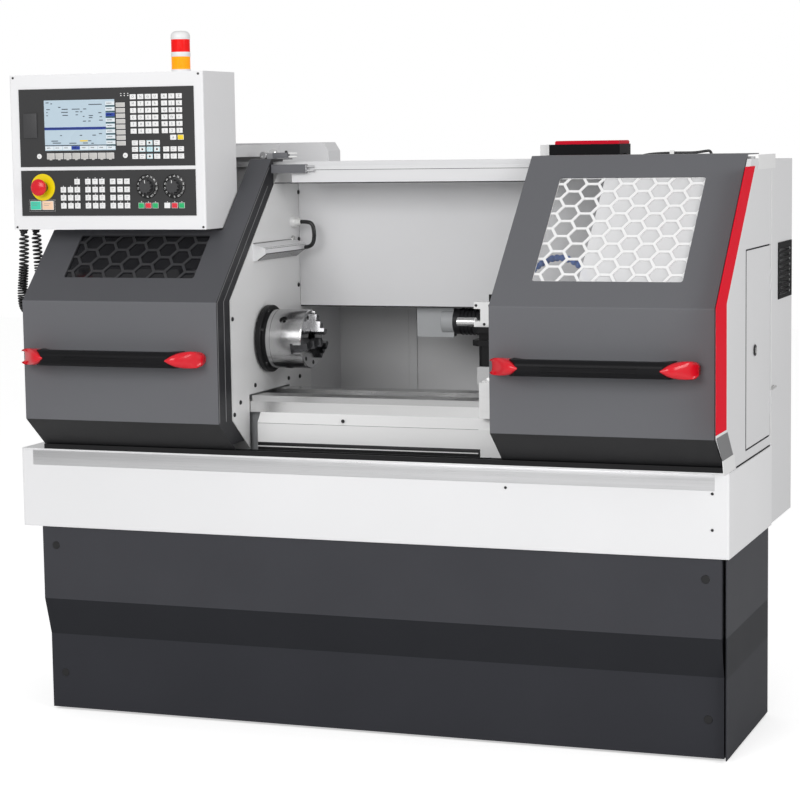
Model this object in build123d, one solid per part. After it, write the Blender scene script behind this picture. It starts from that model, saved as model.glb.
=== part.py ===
from build123d import *
import math
import os

# CNC turning lathe with a folded sheet steel enclosure and two sliding doors.
# The origin is on the floor, under the middle of the machine's length and depth.
# +X runs from the chuck to the tailstock, +Y from the operator to the rear, +Z up.
# All sizes are in millimetres.

# Overall sizes
tray_length = 2200.0
overall_depth = 1115.0
tray_bottom_z = 582.7
tray_height = 240.5
tray_depth = 603.0
tray_rim = 38.0
tray_side_rim = 104.0
tray_corner = 6.0
weld_gap = 0.2
handle_reach = 85.0
door_proud = 104.0

# Sheet metal
sheet = 3.0
bend = 3.0
slide_gap = 0.3
edge_break = 1.5
seam_gap = 3.0

# Sliding doors
door_width = 637.0
left_door_inset = 78.5
right_door_inset = 18.5
door_bottom_back = 124.3
door_bottom_z = 828.0
lower_fold_z = 928.0
upper_fold_z = 1283.5
door_top_back = 426.8
door_top_z = 1693.0
top_flange_depth = 165.0
door_return = 92.0
return_bottom_z = 858.0
short_return = 18.0
shelf_margin = 6.0
right_return_top_z = 1636.0
strip_width = 71.0
left_door_cut_z = 1486.0
window_margin = 104.0
window_start = 96.0
window_length = 405.0
left_window_length = 176.0
window_corner = 8.0
hex_side = 34.0
hex_bar = 8.0
guard_thickness = 3.0
guard_lap = 14.0
guard_frame_gap = 1.0

# Door handles
handle_length = 584.0
handle_offset = 11.0
handle_z = 1120.0
handle_height = 46.0
handle_thickness = 36.0
handle_end_length = 86.0
handle_end_red = 62.0
handle_rounding = 17.0
handle_foot_length = 50.4
handle_knee = 14.4

# Door rail and track
beam_start_x = -324.0
beam_front_back = 335.0
beam_bottom_z = 1618.0
beam_top_z = 1669.0
rail_start_inset = 100.0
rail_width = 60.0
rail_height = 15.0
rail_inset = 30.0
hanger_arm_length = 116.0
hanger_arm_depth = 20.0
hanger_arm_height = 26.0
hanger_arm_z = 1650.0
hanger_rod_radius = 3.0
hanger_rod_length = 24.0
hanger_rod_spacing = 13.0
hanger_chamfer = 3.0
shoe_margin = 6.0
shoe_inset = 60.0
shoe_length = 70.0
switch_setback = 14.0
switch_size = (24.0, 24.0, 18.0)
switch_overhang = 2.0
roller_radius = 11.5
roller_length = 20.0
roller_from_end = 34.0
roller_rise = 11.0
track_depth = 36.0
track_height = 15.0

# Spindle and chuck
spindle_back = 255.0
spindle_z = 1150.0
bore_radius = 26.0
spindle_radius = 45.0
spindle_rear_proud = 8.0
wall_x = -384.0
nose_radius = 68.0
backplate_radius = 102.0
nose_flange_thickness = 14.0
backplate_gap = 6.0
backplate_thickness = 16.0
hub_radius = 74.0
hub_length = 12.0
chuck_radius = 89.0
chuck_length = 114.0
chuck_bore_radius = 27.5
chuck_seam_distance = 12.0
chuck_groove = 1.5
jaw_width = 24.0
jaw_length = 60.0
jaw_tip_radius = 14.0
jaw_depth = 34.0
jaw_rise = 43.0
jaw_step = 14.0
jaw_steps = 2
jaw_step_start = 18.0
jaw_step_length = 20.0
jaw_tongue = 4.0
jaw_tongue_thickness = 8.0
jaw_fit = 0.1
jaw_angle = -15.0
socket_radius = 13.0
socket_square = 10.0
socket_depth = 16.0
socket_from_face = 64.0
pinion_proud = 8.0
pinion_radius = 10.0

# Bed and ways
bed_start_x = -460.0
bed_end_inset = 110.0
way_top_z = 988.0
front_way_back = 120.0
way_width = 95.0
way_height = 48.0
way_chamfer = 16.0
rear_way_back = 330.0
bed_wall = 36.0
bed_wall_inset = 26.0
bed_rib = 24.0
bed_rib_pitch = 290.0
bed_foot_width = 20.0
bed_foot_height = 24.0
way_gap = 4.0

# Guards under the front way
guard_start_x = -350.0
guard_apron_back = 96.0
guard_apron_bottom_z = 853.0
guard_lip_z = 912.0
guard_full_x = 350.0

# Headstock and left housing
housing_inset = 100.0
housing_shift = 96.0
housing_wall = 6.0
spindle_port_gap = 6.0
headstock_inset = 40.0
headstock_wall = 24.0
headstock_back = 40.0
headstock_top = 110.0
headstock_corner = 18.0
nose_clearance = 3.0
nose_end_gap = 1.0
spindle_fit = 0.05

# Right housing and end panel
right_housing_width = 394.0
right_housing_setback = 100.0
right_housing_fold_z = 925.0
right_housing_return = 15.0
end_flange_depth = 13.0
end_panel_inset = 3.0
end_panel_top_z = 1678.0
end_panel_setback = 2.0
access_front_back = 232.0
access_rear_inset = 15.0
hinge_from_end = 70.0
access_bottom_z = 855.0
access_top_z = 1425.0
access_flange = 14.0
hinge_radius = 3.0
hinge_swing_gap = 1.5
hinge_pin_radius = 1.5
hinge_fit = 0.05
knuckle_length = 22.0
hinge_tab = 8.0
lock_proud = 2.0
lock_radius = 8.0
lock_from_edge = 122.0
lock_z = 1131.0
red_trim_width = 120.0
red_trim_thickness = 1.2
red_trim_top_z = 1656.0
red_trim_bottom_z = 934.0

# Rear cabinet
cabinet_inset = 60.0
cabinet_bottom_z = 585.0
cabinet_top_z = 1672.0
cabinet_upper_back = 533.0
recess_back = 862.0
recess_roof_z = 1232.0
recess_wall = 8.0
recess_edge_gap = 1.0
seam_x = (-143.0, -115.0)
seam_width = (1.0, 9.0)
seam_depth = (1.0, 6.0)
louvre_front_back = 702.0
louvre_rear_back = 913.0
louvre_bottom_z = 1252.0
louvre_top_z = 1423.0
louvre_slats = 9
louvre_slat = 8.0
louvre_border = 12.0
louvre_chamfer = 1.0

# Base
base_left_inset = 62.0
base_right_inset = 10.0
base_cover_inset = 22.0
base_front_back = 5.0
base_fold_back = 40.0
base_upper_fold_z = 357.0
base_lower_fold_z = 240.0
base_cover_depth = 70.0
base_side_front_back = 18.0
foot_height = 8.0
foot_size = 120.0
foot_inset = 14.0
plug_radius = 12.0
plug_thickness = 2.0
plug_inset = 45.0
plug_upper_z = 524.0
plug_lower_z = 118.0

# Console
console_width = 641.0
console_depth = 226.0
console_bottom_z = 1492.0
console_height = 463.0
console_rear_chamfer = 26.0
console_edge = 5.0
panel_left = 31.0
panel_width = 580.0
display_top = 43.0
display_height = 232.0
machine_top = 286.0
machine_height = 136.0
panel_thickness = 4.0
panel_proud = 2.0
key_proud = 1.5
key_width = 20.0
key_height = 15.0
screen_left = 116.0
screen_top = 77.0
screen_width = 236.0
screen_height = 150.0
hatch_left = 46.0
hatch_top = 115.0
hatch_width = 45.0
hatch_height = 73.0
screen_seat = 2.0
side_key_x = 372.0
side_key_width = 30.0
side_key_height = 13.0
side_key_top = 94.0
side_key_pitch = 16.2
lower_key_x = 135.0
lower_key_width = 26.0
lower_key_height = 18.0
lower_key_pitch = 28.5
lower_key_down = 243.5
round_key_radius = 7.0
round_key_x = (96.0, 384.0)
softkey_count = 8
key_columns = (414.0, 439.0, 463.0, 486.0, 516.0, 540.0, 564.0)
key_top = 71.3
key_pitch = 20.2
key_rows = 6
cursor_columns = (417.0, 441.0, 465.0, 489.0, 519.0, 543.0, 567.0)
cursor_rows = (226.0, 247.0)
letter_row = 207.0
letter_row_keys = 4
shift_key_x = (543.0, 567.0)
shift_key_down = 192.0
machine_columns = (174.0, 198.0, 221.0, 257.0, 281.0, 304.0, 340.0, 364.0, 387.0)
machine_rows = (344.0, 368.0, 392.0)
machine_top_row = 320.0
machine_top_row_start = 2
start_key_x = (62.0, 102.0)
start_key_width = 37.0
start_key_down = 390.5
start_key_height = 25.0
colour_key_x = (433.0, 456.0, 479.0, 518.0, 542.0, 565.0)
colour_key_down = 392.0

# Cable duct and arm that carry the console
arm_inset = 200.0
arm_width = 420.0
arm_bottom_z = 1700.0
arm_top_z = 1736.0
duct_back = 610.0
duct_depth = 100.0
duct_inset = 70.0
duct_right_x = -312.0
duct_top_z = 1741.0
duct_corner_x = 17.0
duct_corner_z = 27.0

# Override dials and emergency stop
dial_x = (454.0, 542.0)
dial_down = 336.0
dial_scale_radius = 36.0
dial_scale_thickness = 1.0
dial_radius = 21.0
dial_skirt_radius = 24.0
dial_height = 18.0
dial_flutes = 12
dial_flute_radius = 3.5
shaft_radius = 4.0
shaft_length = 12.0
shaft_fit = 0.05
stop_x = 105.0
stop_down = 336.0
stop_plate_radius = 40.0
stop_plate_thickness = 2.0
stop_collar_radius = 17.0
stop_collar_length = 14.0
stop_stem_radius = 8.0
stop_radius = 25.0
stop_head = 17.0
stop_crown_rise = 6.0
stop_crown_width = 9.0
stop_travel = 5.0

# Signal tower
tower_from_left = 519.0
tower_back = 112.0
tower_radius = 29.0
tower_core_radius = 12.0
tower_base_height = 9.0
tower_lens_height = 37.0
tower_ring_height = 14.0
tower_dome_height = 25.0
tower_dome_chamfer = 9.0

# Curly cord under the console
coil_diameter = 30.0
cord_from_left = 36.0
cord_route = [(30.0, 1478.0), (30.0, 1402.0), (26.0, 1250.0), (126.0, 1250.0), (122.0, 1402.0),
              (122.0, 1478.0)]
gland_radius = 11.0
gland_length = 14.0
gland_nut_radius = 13.5
gland_nut_length = 6.0
gland_chamfer = 2.0

# Work lamp on the side wall
lamp_front_back = 168.0
lamp_length = 318.0
lamp_top_z = 1442.0
lamp_section = [(0.0, 0.0), (34.0, -12.0), (40.0, -16.0), (40.0, -30.0), (8.0, -52.0), (0.0, -52.0)]
lamp_gland_back = 473.0
lamp_gland_z = 1496.0
lamp_gland_reach = 30.0
lamp_boss_radius = 17.0
lamp_cable_radius = 5.0
lamp_cable_route = [(30.0, 1496.0), (64.0, 1496.0), (86.5, 1473.5), (86.5, 1441.5), (64.0, 1419.0),
                    (40.0, 1419.0)]

# Lubrication unit on the roof
unit_left_x = 427.0
unit_width = 220.0
unit_back = 560.0
unit_depth = 130.0
unit_height = 52.0
unit_lid_height = 11.0
unit_lid_margin = 3.0
unit_lid_left = 18.0
unit_lid_chamfer = 3.0
unit_side_width = 31.0
unit_side_inset = 10.0
roof_cable_radius = 4.0
roof_cable_z = 1695.0
roof_gland_x = 912.0

# Carriage
saddle_x = 352.0
saddle_width = 262.0
saddle_front_back = 112.0
saddle_rear_back = 560.0
saddle_height = 38.0
saddle_corner = 18.0
dovetail_width = 110.0
dovetail_flare = 12.0
dovetail_height = 16.0
slide_fit = 0.1
slide_x = 296.0
slide_width = 262.0
slide_front_back = 240.0
slide_length = 360.0
slide_top_z = 1078.0
apron_front_back = 84.0
apron_bottom_z = 944.0
apron_ribs = 5
apron_groove = 1.2
cover_wall = 2.0
cover_gap = 0.4
cover_step = 5.0
cover_top_z = 1063.0
cover_length = 78.0
cover_inset = 4.0
cover_front_pitch = 24.0
cover_levels = 3
t_slot_width = 14.0
t_slot_depth = 20.0
t_slot_margin = 20.0
t_slot_pitch = 60.0

# Turret with its tool holder and motor
turret_left_x = 276.0
turret_front_back = 240.0
turret_size = 132.0
turret_corner = 22.0
turret_base_inset = 20.0
turret_base_top_z = 1138.0
turret_top_z = 1195.0
turret_pin_radius = 20.0
turret_pin_fit = 0.05
turret_pin_depth = 30.0
turret_slot_height = 22.0
turret_slot_depth = 20.0
turret_screws = 4
turret_screw_radius = 5.0
turret_screw_depth = 14.0
holder_left_x = 284.0
holder_front_back = 250.0
holder_width = 56.0
holder_depth = 34.0
holder_foot_z = 1211.0
holder_neck_left = 20.0
holder_bar_z = 1248.0
holder_top_z = 1268.0
tool_bar_radius = 12.5
tool_bar_length = 56.0
tool_bar_z = 1208.0
holder_knob_radius = 6.0
holder_knob_height = 22.0
motor_left_x = -8.0
motor_box_back = 570.0
motor_box_depth = 26.0
motor_box_length = 121.0
motor_box_bottom_z = 1134.0
motor_box_height = 91.0
motor_radius = 40.0
motor_length = 190.0
motor_back = 592.0
motor_z = 1182.0
motor_plate_thickness = 18.0
motor_overlap = 40.0

# Tailstock
tailstock_from_end = 230.0
tailstock_width = 190.0
tailstock_base_height = 72.0
tailstock_neck_width = 80.0
tailstock_shoulder = 24.0
barrel_radius = 50.0
barrel_overhang = 12.0
quill_radius = 26.0
quill_length = 210.0
quill_out = 46.0
quill_fit = 0.05
quill_end_wall = 16.0
screw_clearance = 2.0
screw_end_gap = 4.0
taper_radius = 12.0
taper_depth = 70.0
screw_radius = 9.0
screw_length = 110.0
handwheel_radius = 78.0
handwheel_rim = 11.0
handwheel_thickness = 18.0
handwheel_hub_radius = 22.0
handwheel_gap = 4.0
spoke_width = 16.0
crank_radius = 9.0
crank_length = 46.0

half_length = tray_length / 2
end_panel_outer_x = half_length - end_panel_inset
end_flange_x = end_panel_outer_x - end_flange_depth
base_left_x = base_left_inset - half_length
base_right_x = half_length - base_right_inset
base_cover_right_x = half_length - base_cover_inset
housing_left_x = housing_inset - half_length
headstock_left_x = housing_left_x + headstock_inset
spindle_rear_x = housing_left_x - spindle_rear_proud
cabinet_left_x = cabinet_inset - half_length
console_left_x = -half_length
arm_left_x = console_left_x + arm_inset
arm_right_x = arm_left_x + arm_width
duct_left_x = duct_inset - half_length
rail_start_x = rail_start_inset - half_length
tower_x = console_left_x + tower_from_left
bed_end_x = half_length - bed_end_inset
tailstock_x = bed_end_x - tailstock_from_end
handle_front_y = -overall_depth / 2
tray_front_y = handle_front_y + handle_reach + door_proud
rear_y = overall_depth / 2
tray_top_z = tray_bottom_z + tray_height
door_face = -door_proud
side_skin_x = end_panel_outer_x - sheet
right_housing_x = side_skin_x - right_housing_width
access_rear_back = tray_depth - access_rear_inset
panel_back = cabinet_upper_back - slide_gap - sheet
recess_fold_z = recess_roof_z - slide_gap - sheet
access_clear_x = side_skin_x - access_flange - seam_gap
console_top_z = console_bottom_z + console_height
apron_top_z = cover_top_z - cover_levels * cover_step
left_door_x = left_door_inset - half_length
right_door_x = half_length - right_door_inset - door_width


def depth(distance):
    """The Y of a point that lies this far behind the tray's front."""
    return tray_front_y + distance


def block(x, back, z):
    """A box between pairs of limits: along the length, behind the tray's front, and above the floor."""
    size = Box(x[1] - x[0], back[1] - back[0], z[1] - z[0])
    return Pos((x[0] + x[1]) / 2, depth((back[0] + back[1]) / 2), (z[0] + z[1]) / 2) * size


def rod_x(x, back, z, radius):
    """A round bar along the machine's length."""
    bar = Rot(0, 90, 0) * Cylinder(radius, x[1] - x[0])
    return Pos((x[0] + x[1]) / 2, depth(back), z) * bar


def rod_y(x, back, z, radius):
    """A round bar from front to back."""
    bar = Rot(90, 0, 0) * Cylinder(radius, back[1] - back[0])
    return Pos(x, depth((back[0] + back[1]) / 2), z) * bar


def rod_z(x, back, z, radius):
    """An upright round bar."""
    return Pos(x, depth(back), (z[0] + z[1]) / 2) * Cylinder(radius, z[1] - z[0])


def side_profile(points, x):
    """A flat outline in the machine's side view, drawn through (back, height) points and extruded along X."""
    corners = [(depth(back), z) for back, z in points]
    face = make_face(Polyline(*corners, close=True))
    return extrude(Plane.YZ.offset(x[0]) * face, x[1] - x[0])


def offset_points(points, distance):
    """The same path moved to its right-hand side, with mitred corners."""
    moved = []
    for i, point in enumerate(points):
        here = Vector(*point)
        before = Vector(*points[max(i - 1, 0)])
        after = Vector(*points[min(i + 1, len(points) - 1)])
        first = (here - before).normalized() if i > 0 else (after - here).normalized()
        second = (after - here).normalized() if i < len(points) - 1 else first
        right_first = Vector(first.Y, -first.X)
        right_second = Vector(second.Y, -second.X)
        mitre = (right_first + right_second).normalized()
        reach = distance / mitre.dot(right_first)
        moved.append((here.X + mitre.X * reach, here.Y + mitre.Y * reach))
    return moved


def bent_sheet(points, x, wall=sheet, radius=bend):
    """A folded sheet seen from the side: the path is its outer face, with the wall on its right."""
    outside = [(depth(back), z) for back, z in points]
    inside = offset_points(outside, wall)
    turns_right = [is_right_turn(*outside[i - 1:i + 2]) for i in range(1, len(outside) - 1)]
    outer_radii = [radius + wall if right else radius for right in turns_right]
    inner_radii = [radius if right else radius + wall for right in turns_right]
    outer = FilletPolyline(*outside, radius=outer_radii)
    inner = FilletPolyline(*inside, radius=inner_radii)
    ends = [Line(outside[0], inside[0]), Line(outside[-1], inside[-1])]
    face = make_face(outer.edges() + inner.edges() + ends)
    return extrude(Plane.YZ.offset(x[0]) * face, x[1] - x[0])


def is_right_turn(a, b, c):
    """Whether the path a, b, c turns to the right at b."""
    return (b[0] - a[0]) * (c[1] - b[1]) - (b[1] - a[1]) * (c[0] - b[0]) < 0


def save(shape, node):
    """Writes one node's STEP file."""
    export_step(shape, os.path.join("parts", node + ".step"))


# Folded door outline, from its lower edge over the two folds to the rear edge of its top flange
door_path = [
    (door_face + door_bottom_back, door_bottom_z),
    (door_face, lower_fold_z),
    (door_face, upper_fold_z),
    (door_face + door_top_back, door_top_z),
    (door_face + door_top_back + top_flange_depth, door_top_z),
]
slant = math.atan2(door_top_z - upper_fold_z, door_top_back)
lower_slope = door_bottom_back / (lower_fold_z - door_bottom_z)


def skin_back(z, shift=0.0):
    """How far behind the tray's front the door's outer face lies at one height."""
    if z < lower_fold_z:
        return door_face + (lower_fold_z - z) * lower_slope + shift
    if z < upper_fold_z:
        return door_face + shift
    return door_face + (z - upper_fold_z) / math.tan(slant) + shift


def outline_between(low_z, high_z, shift):
    """Points of the door's outline between two heights, moved back by a shift."""
    points = [(skin_back(low_z, shift), low_z)]
    points += [(skin_back(z, shift), z) for z in (lower_fold_z, upper_fold_z) if low_z < z < high_z]
    return points + [(skin_back(high_z, shift), high_z)]


def edge_return(x, low_z, high_z, back_depth):
    """A door's edge return: a flat flange that follows the outline at one end."""
    start = sheet * 0.5
    near = outline_between(low_z, high_z, start)
    far = outline_between(low_z, high_z, back_depth)
    return side_profile(near + far[::-1], x)


slant_plane = Plane(
    origin=(0, depth(door_face), upper_fold_z),
    x_dir=(1, 0, 0),
    z_dir=(0, -math.sin(slant), math.cos(slant)),
)


def slant_block(x, along, thickness):
    """A box in the slanted face: limits along X, up the slope from the upper fold, and out of the face."""
    size = Box(x[1] - x[0], along[1] - along[0], thickness[1] - thickness[0])
    return slant_plane * Pos((x[0] + x[1]) / 2, sum(along) / 2, sum(thickness) / 2) * size


def window_cut(x, along):
    """The rounded window opening in a door."""
    hole = slant_block(x, along, (-4 * sheet, 4 * sheet))
    across = Axis((0, 0, 0), (0, -math.sin(slant), math.cos(slant)))
    return fillet(hole.edges().filter_by(across), window_corner)


def window_guard(x, along):
    """A laser-cut honeycomb guard in a thin frame, lying against the inner side of the window."""
    top = -sheet - slide_gap
    outer = slant_block((x[0] - guard_lap, x[1] + guard_lap), (along[0] - guard_lap, along[1] + guard_lap),
                        (top - guard_thickness, top))
    column_pitch = 1.5 * hex_side
    row_pitch = math.sqrt(3) * hex_side
    hole_radius = hex_side - hex_bar / math.sqrt(3)
    columns = int((x[1] - x[0]) / column_pitch) + 2
    rows = int((along[1] - along[0]) / row_pitch) + 2
    centres = [
        (x[0] + column * column_pitch, along[0] + (row + column % 2 / 2) * row_pitch)
        for column in range(columns) for row in range(rows)
    ]
    holes = Sketch() + [Pos(*centre) * RegularPolygon(hole_radius, 6) for centre in centres]
    field = Rectangle(x[1] - x[0] - guard_frame_gap, along[1] - along[0] - guard_frame_gap)
    field = Pos(sum(x) / 2, sum(along) / 2) * field
    cut = extrude(slant_plane * Pos(0, 0, top) * (holes & field), -2 * guard_thickness, both=True)
    return outer - cut


def door_shell(x0, along):
    """A door's folded skin with its window opening."""
    x = (x0, x0 + door_width)
    window = (x0 + window_margin, x0 + door_width - window_margin)
    return bent_sheet(door_path, x) - window_cut(window, along)


def rail_shoe(x, z_low):
    """A sliding shoe under a door's top flange, running on the rail."""
    rail_front = beam_front_back + rail_inset
    return block(x, (rail_front, rail_front + rail_width), (z_low, door_top_z - sheet))


def build_left_door():
    """The left door: its upper part is only a narrow strip, because the console fills the rest."""
    x1 = left_door_x + door_width
    strip_x = x1 - strip_width
    window = (window_start, window_start + left_window_length)
    door = door_shell(left_door_x, window)
    console_space = block(
        (left_door_x - 1, strip_x), (door_face, door_face + door_top_back + 2 * top_flange_depth),
        (left_door_cut_z, door_top_z + 1),
    )
    door -= console_space
    cut_back = skin_back(left_door_cut_z)
    door += block((left_door_x, strip_x), (cut_back - 0.5, cut_back + short_return + shelf_margin),
                  (left_door_cut_z - sheet, left_door_cut_z))
    door += edge_return((x1 - sheet, x1), return_bottom_z, door_top_z - sheet / 2, door_return)
    door += edge_return((left_door_x, left_door_x + sheet), return_bottom_z, left_door_cut_z, short_return)
    door += edge_return((strip_x, strip_x + sheet), left_door_cut_z - sheet, door_top_z - sheet / 2,
                        short_return)
    rail_top_z = beam_top_z + rail_height
    door -= block((x1 - sheet - 1, x1 + 1), (beam_front_back - slide_gap, panel_back),
                  (beam_bottom_z - slide_gap, rail_top_z + slide_gap))
    door += rail_shoe((strip_x + shoe_margin, x1 - shoe_margin), rail_top_z + slide_gap)
    arm_front = beam_front_back - slide_gap - hanger_arm_depth
    arm = block((x1 - sheet, x1 + hanger_arm_length), (arm_front, arm_front + hanger_arm_depth),
                (hanger_arm_z, hanger_arm_z + hanger_arm_height))
    door += chamfer(arm.edges().filter_by(Axis.Y).group_by(Axis.X)[-1], hanger_chamfer)
    for rise in (-hanger_rod_spacing / 2, hanger_rod_spacing / 2):
        rod_height = hanger_arm_z + hanger_arm_height / 2 + rise
        rod_start = x1 + hanger_arm_length - 1
        door += rod_x((rod_start, rod_start + hanger_rod_length), arm_front + hanger_arm_depth / 2,
                      rod_height, hanger_rod_radius)
    switch_front = door_face + door_top_back + switch_setback
    switch_right = x1 + switch_overhang
    switch_x = (switch_right - switch_size[0], switch_right)
    door += block(switch_x, (switch_front, switch_front + switch_size[1]),
                  (door_top_z - 1, door_top_z + switch_size[2]))
    roller_front = switch_front + (switch_size[1] - roller_length) / 2
    return door + rod_y(x1 - roller_from_end, (roller_front, roller_front + roller_length),
                        door_top_z + roller_rise, roller_radius)


def build_right_door():
    """The right door: the folded skin at its full height."""
    x1 = right_door_x + door_width
    window = (window_start, window_start + window_length)
    door = door_shell(right_door_x, window)
    door += edge_return((right_door_x, right_door_x + sheet), return_bottom_z, right_return_top_z,
                        short_return)
    door += edge_return((x1 - sheet, x1), return_bottom_z, door_top_z - sheet / 2, short_return)
    rail_top_z = beam_top_z + rail_height
    for shoe_x in (right_door_x + shoe_inset, x1 - shoe_inset - shoe_length):
        door += rail_shoe((shoe_x, shoe_x + shoe_length), rail_top_z + slide_gap)
    return door


def handle_parts(x0):
    """A bar held off the door by two sloping ends: the black bar and its pair of red end caps."""
    start = x0 + (door_width - handle_length) / 2 - handle_offset
    end = start + handle_length
    front = door_face - handle_reach
    back_at_end = door_face
    outline = [
        (start, back_at_end), (start + handle_end_length, front), (end - handle_end_length, front),
        (end, back_at_end), (end - handle_foot_length, back_at_end),
        (end - handle_end_length - handle_knee, front + handle_thickness),
        (start + handle_end_length + handle_knee, front + handle_thickness),
        (start + handle_foot_length, back_at_end),
    ]
    face = make_face(Polyline(*[(x, depth(back)) for x, back in outline], close=True))
    body = extrude(Plane.XY.offset(handle_z - handle_height / 2) * face, handle_height)
    envelope = block((start - 1, end + 1), (front, door_face + handle_reach),
                     (handle_z - handle_height / 2, handle_z + handle_height / 2))
    body &= fillet(envelope.edges().filter_by(Axis.X).group_by(Axis.Y)[0], handle_rounding)
    zone_back = (front - 1, back_at_end + 1)
    zone_z = (handle_z - handle_height, handle_z + handle_height)
    left_zone = block((start - 1, start + handle_end_red), zone_back, zone_z)
    right_zone = block((end - handle_end_red, end + 1), zone_back, zone_z)
    ends = body & (left_zone + right_zone)
    bar = body - left_zone - right_zone
    return bar, ends


def build_rail_and_beam():
    """The beam over the work area, with the doors' rail along its top."""
    back = (beam_front_back, panel_back)
    beam = block((beam_start_x, side_skin_x), back, (beam_bottom_z, beam_top_z))
    beam -= block((beam_start_x - 1, side_skin_x + 1), (back[0] + sheet, back[1] - sheet),
                  (beam_bottom_z + sheet, beam_top_z - sheet))
    rail_front = beam_front_back + rail_inset
    rail = block((rail_start_x, end_flange_x), (rail_front, rail_front + rail_width),
                 (beam_top_z, beam_top_z + rail_height))
    return beam + rail


def build_track():
    """The channel on the tray's rim that guides the doors' lower edges."""
    x = (left_door_x, right_door_x + door_width)
    front = skin_back(door_bottom_z) - track_depth / 2 - 1
    channel = block(x, (front, front + track_depth), (tray_top_z, tray_top_z + track_height))
    floor = sheet / 2
    return channel - block((x[0] - 1, x[1] + 1), (front + sheet, front + track_depth - sheet),
                           (tray_top_z + floor, tray_top_z + track_height + 1))


def build_tray():
    """The chip tray: a deep open pan with a folded rim at the front and both ends, parted into its sheets."""
    z = (tray_bottom_z, tray_top_z)
    x = (-half_length, half_length)
    tray = block(x, (0, tray_depth), z)
    tray -= block((x[0] + sheet, x[1] - sheet), (sheet, tray_depth - sheet), (z[0] + sheet, z[1] + 1))
    rim_z = (z[1] - sheet, z[1])
    tray += block(x, (0, tray_rim), rim_z)
    for rim_x in ((x[0], x[0] + tray_side_rim), (x[1] - tray_side_rim, x[1])):
        tray += block(rim_x, (0, tray_depth), rim_z)
    tray = fillet(tray.edges().filter_by(Axis.Z).group_by(Axis.Y)[0], tray_corner)
    wall_z = (z[0] + sheet + weld_gap, rim_z[0] - weld_gap)
    inner_x = (x[0] + sheet + weld_gap, x[1] - sheet - weld_gap)
    between_rims = (x[0] + tray_side_rim + weld_gap, x[1] - tray_side_rim - weld_gap)
    sheets = [
        block(x, (0, tray_depth), (z[0], z[0] + sheet)),
        block(x, (0, tray_corner), wall_z),
        block(inner_x, (tray_depth - sheet, tray_depth), wall_z),
        block(between_rims, (tray_depth - sheet, tray_depth), rim_z),
        block(x, (0, tray_rim), rim_z),
    ]
    for end_x in ((x[0], x[0] + sheet), (x[1] - sheet, x[1])):
        sheets.append(block(end_x, (tray_corner + weld_gap, tray_depth), wall_z))
    for rim_x in ((x[0], x[0] + tray_side_rim), (x[1] - tray_side_rim, x[1])):
        sheets.append(block(rim_x, (tray_rim + weld_gap, tray_depth), rim_z))
    return Compound([(tray & region).solid() for region in sheets])


def base_cover_path():
    """The outer face of the base's front cover in the side view, from the foot up to the tray."""
    return [
        (base_fold_back, foot_height),
        (base_fold_back, base_lower_fold_z),
        (base_front_back, base_upper_fold_z),
        (base_front_back, tray_bottom_z),
    ]


def build_base():
    """The base cabinet: a closed welded shell on six foot plates."""
    x = (base_left_x, base_right_x)
    back = (base_cover_depth, tray_depth)
    z = (foot_height, tray_bottom_z)
    shell = block(x, back, z)
    shell -= block((x[0] + sheet, x[1] - sheet), (back[0] + sheet, back[1] - sheet),
                   (z[0] + sheet, z[1] - sheet))
    shell += block((x[1] - sheet, x[1]), (base_side_front_back, back[0] + sheet), z)
    foot_pitch = (x[1] - x[0] - 2 * foot_inset - foot_size) / 2
    for i in range(3):
        foot_x = x[0] + foot_inset + i * foot_pitch
        for foot_back in (back[0] + foot_inset, back[1] - foot_inset - foot_size):
            shell += block((foot_x, foot_x + foot_size), (foot_back, foot_back + foot_size), (0, foot_height))
    return shell


def build_base_cover():
    """The folded front cover of the base, with a return at each end."""
    x = (base_left_x, base_cover_right_x)
    path = base_cover_path()
    cover = bent_sheet(path, x)
    middle = [(back + sheet / 2, z) for back, z in path]
    seat = [(base_cover_depth, path[-1][1]), (base_cover_depth, path[0][1])]
    for end_x in ((x[0], x[0] + sheet), (x[1] - sheet, x[1])):
        cover += side_profile(middle + seat, end_x)
    return cover


def build_base_plugs():
    """Four round plugs over the base cover's fixing bolts."""
    plugs = []
    for x in (base_left_x + plug_inset, base_cover_right_x - plug_inset):
        for back, z in ((base_front_back, plug_upper_z), (base_fold_back, plug_lower_z)):
            plug = rod_y(x, (back - plug_thickness, back), z, plug_radius)
            plugs.append(chamfer(plug.edges().group_by(Axis.Y)[0], plug_thickness / 2))
    return Compound(plugs)


def way_section(front_back, outer_edge_front):
    """One way of the bed in the side view, chamfered along its outer upper edge."""
    low = way_top_z - way_height
    rear_back = front_back + way_width
    if outer_edge_front:
        top = [(front_back, way_top_z - way_chamfer), (front_back + way_chamfer, way_top_z),
               (rear_back, way_top_z)]
    else:
        top = [(front_back, way_top_z), (rear_back - way_chamfer, way_top_z),
               (rear_back, way_top_z - way_chamfer)]
    return [(front_back, low)] + top + [(rear_back, low)]


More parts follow.
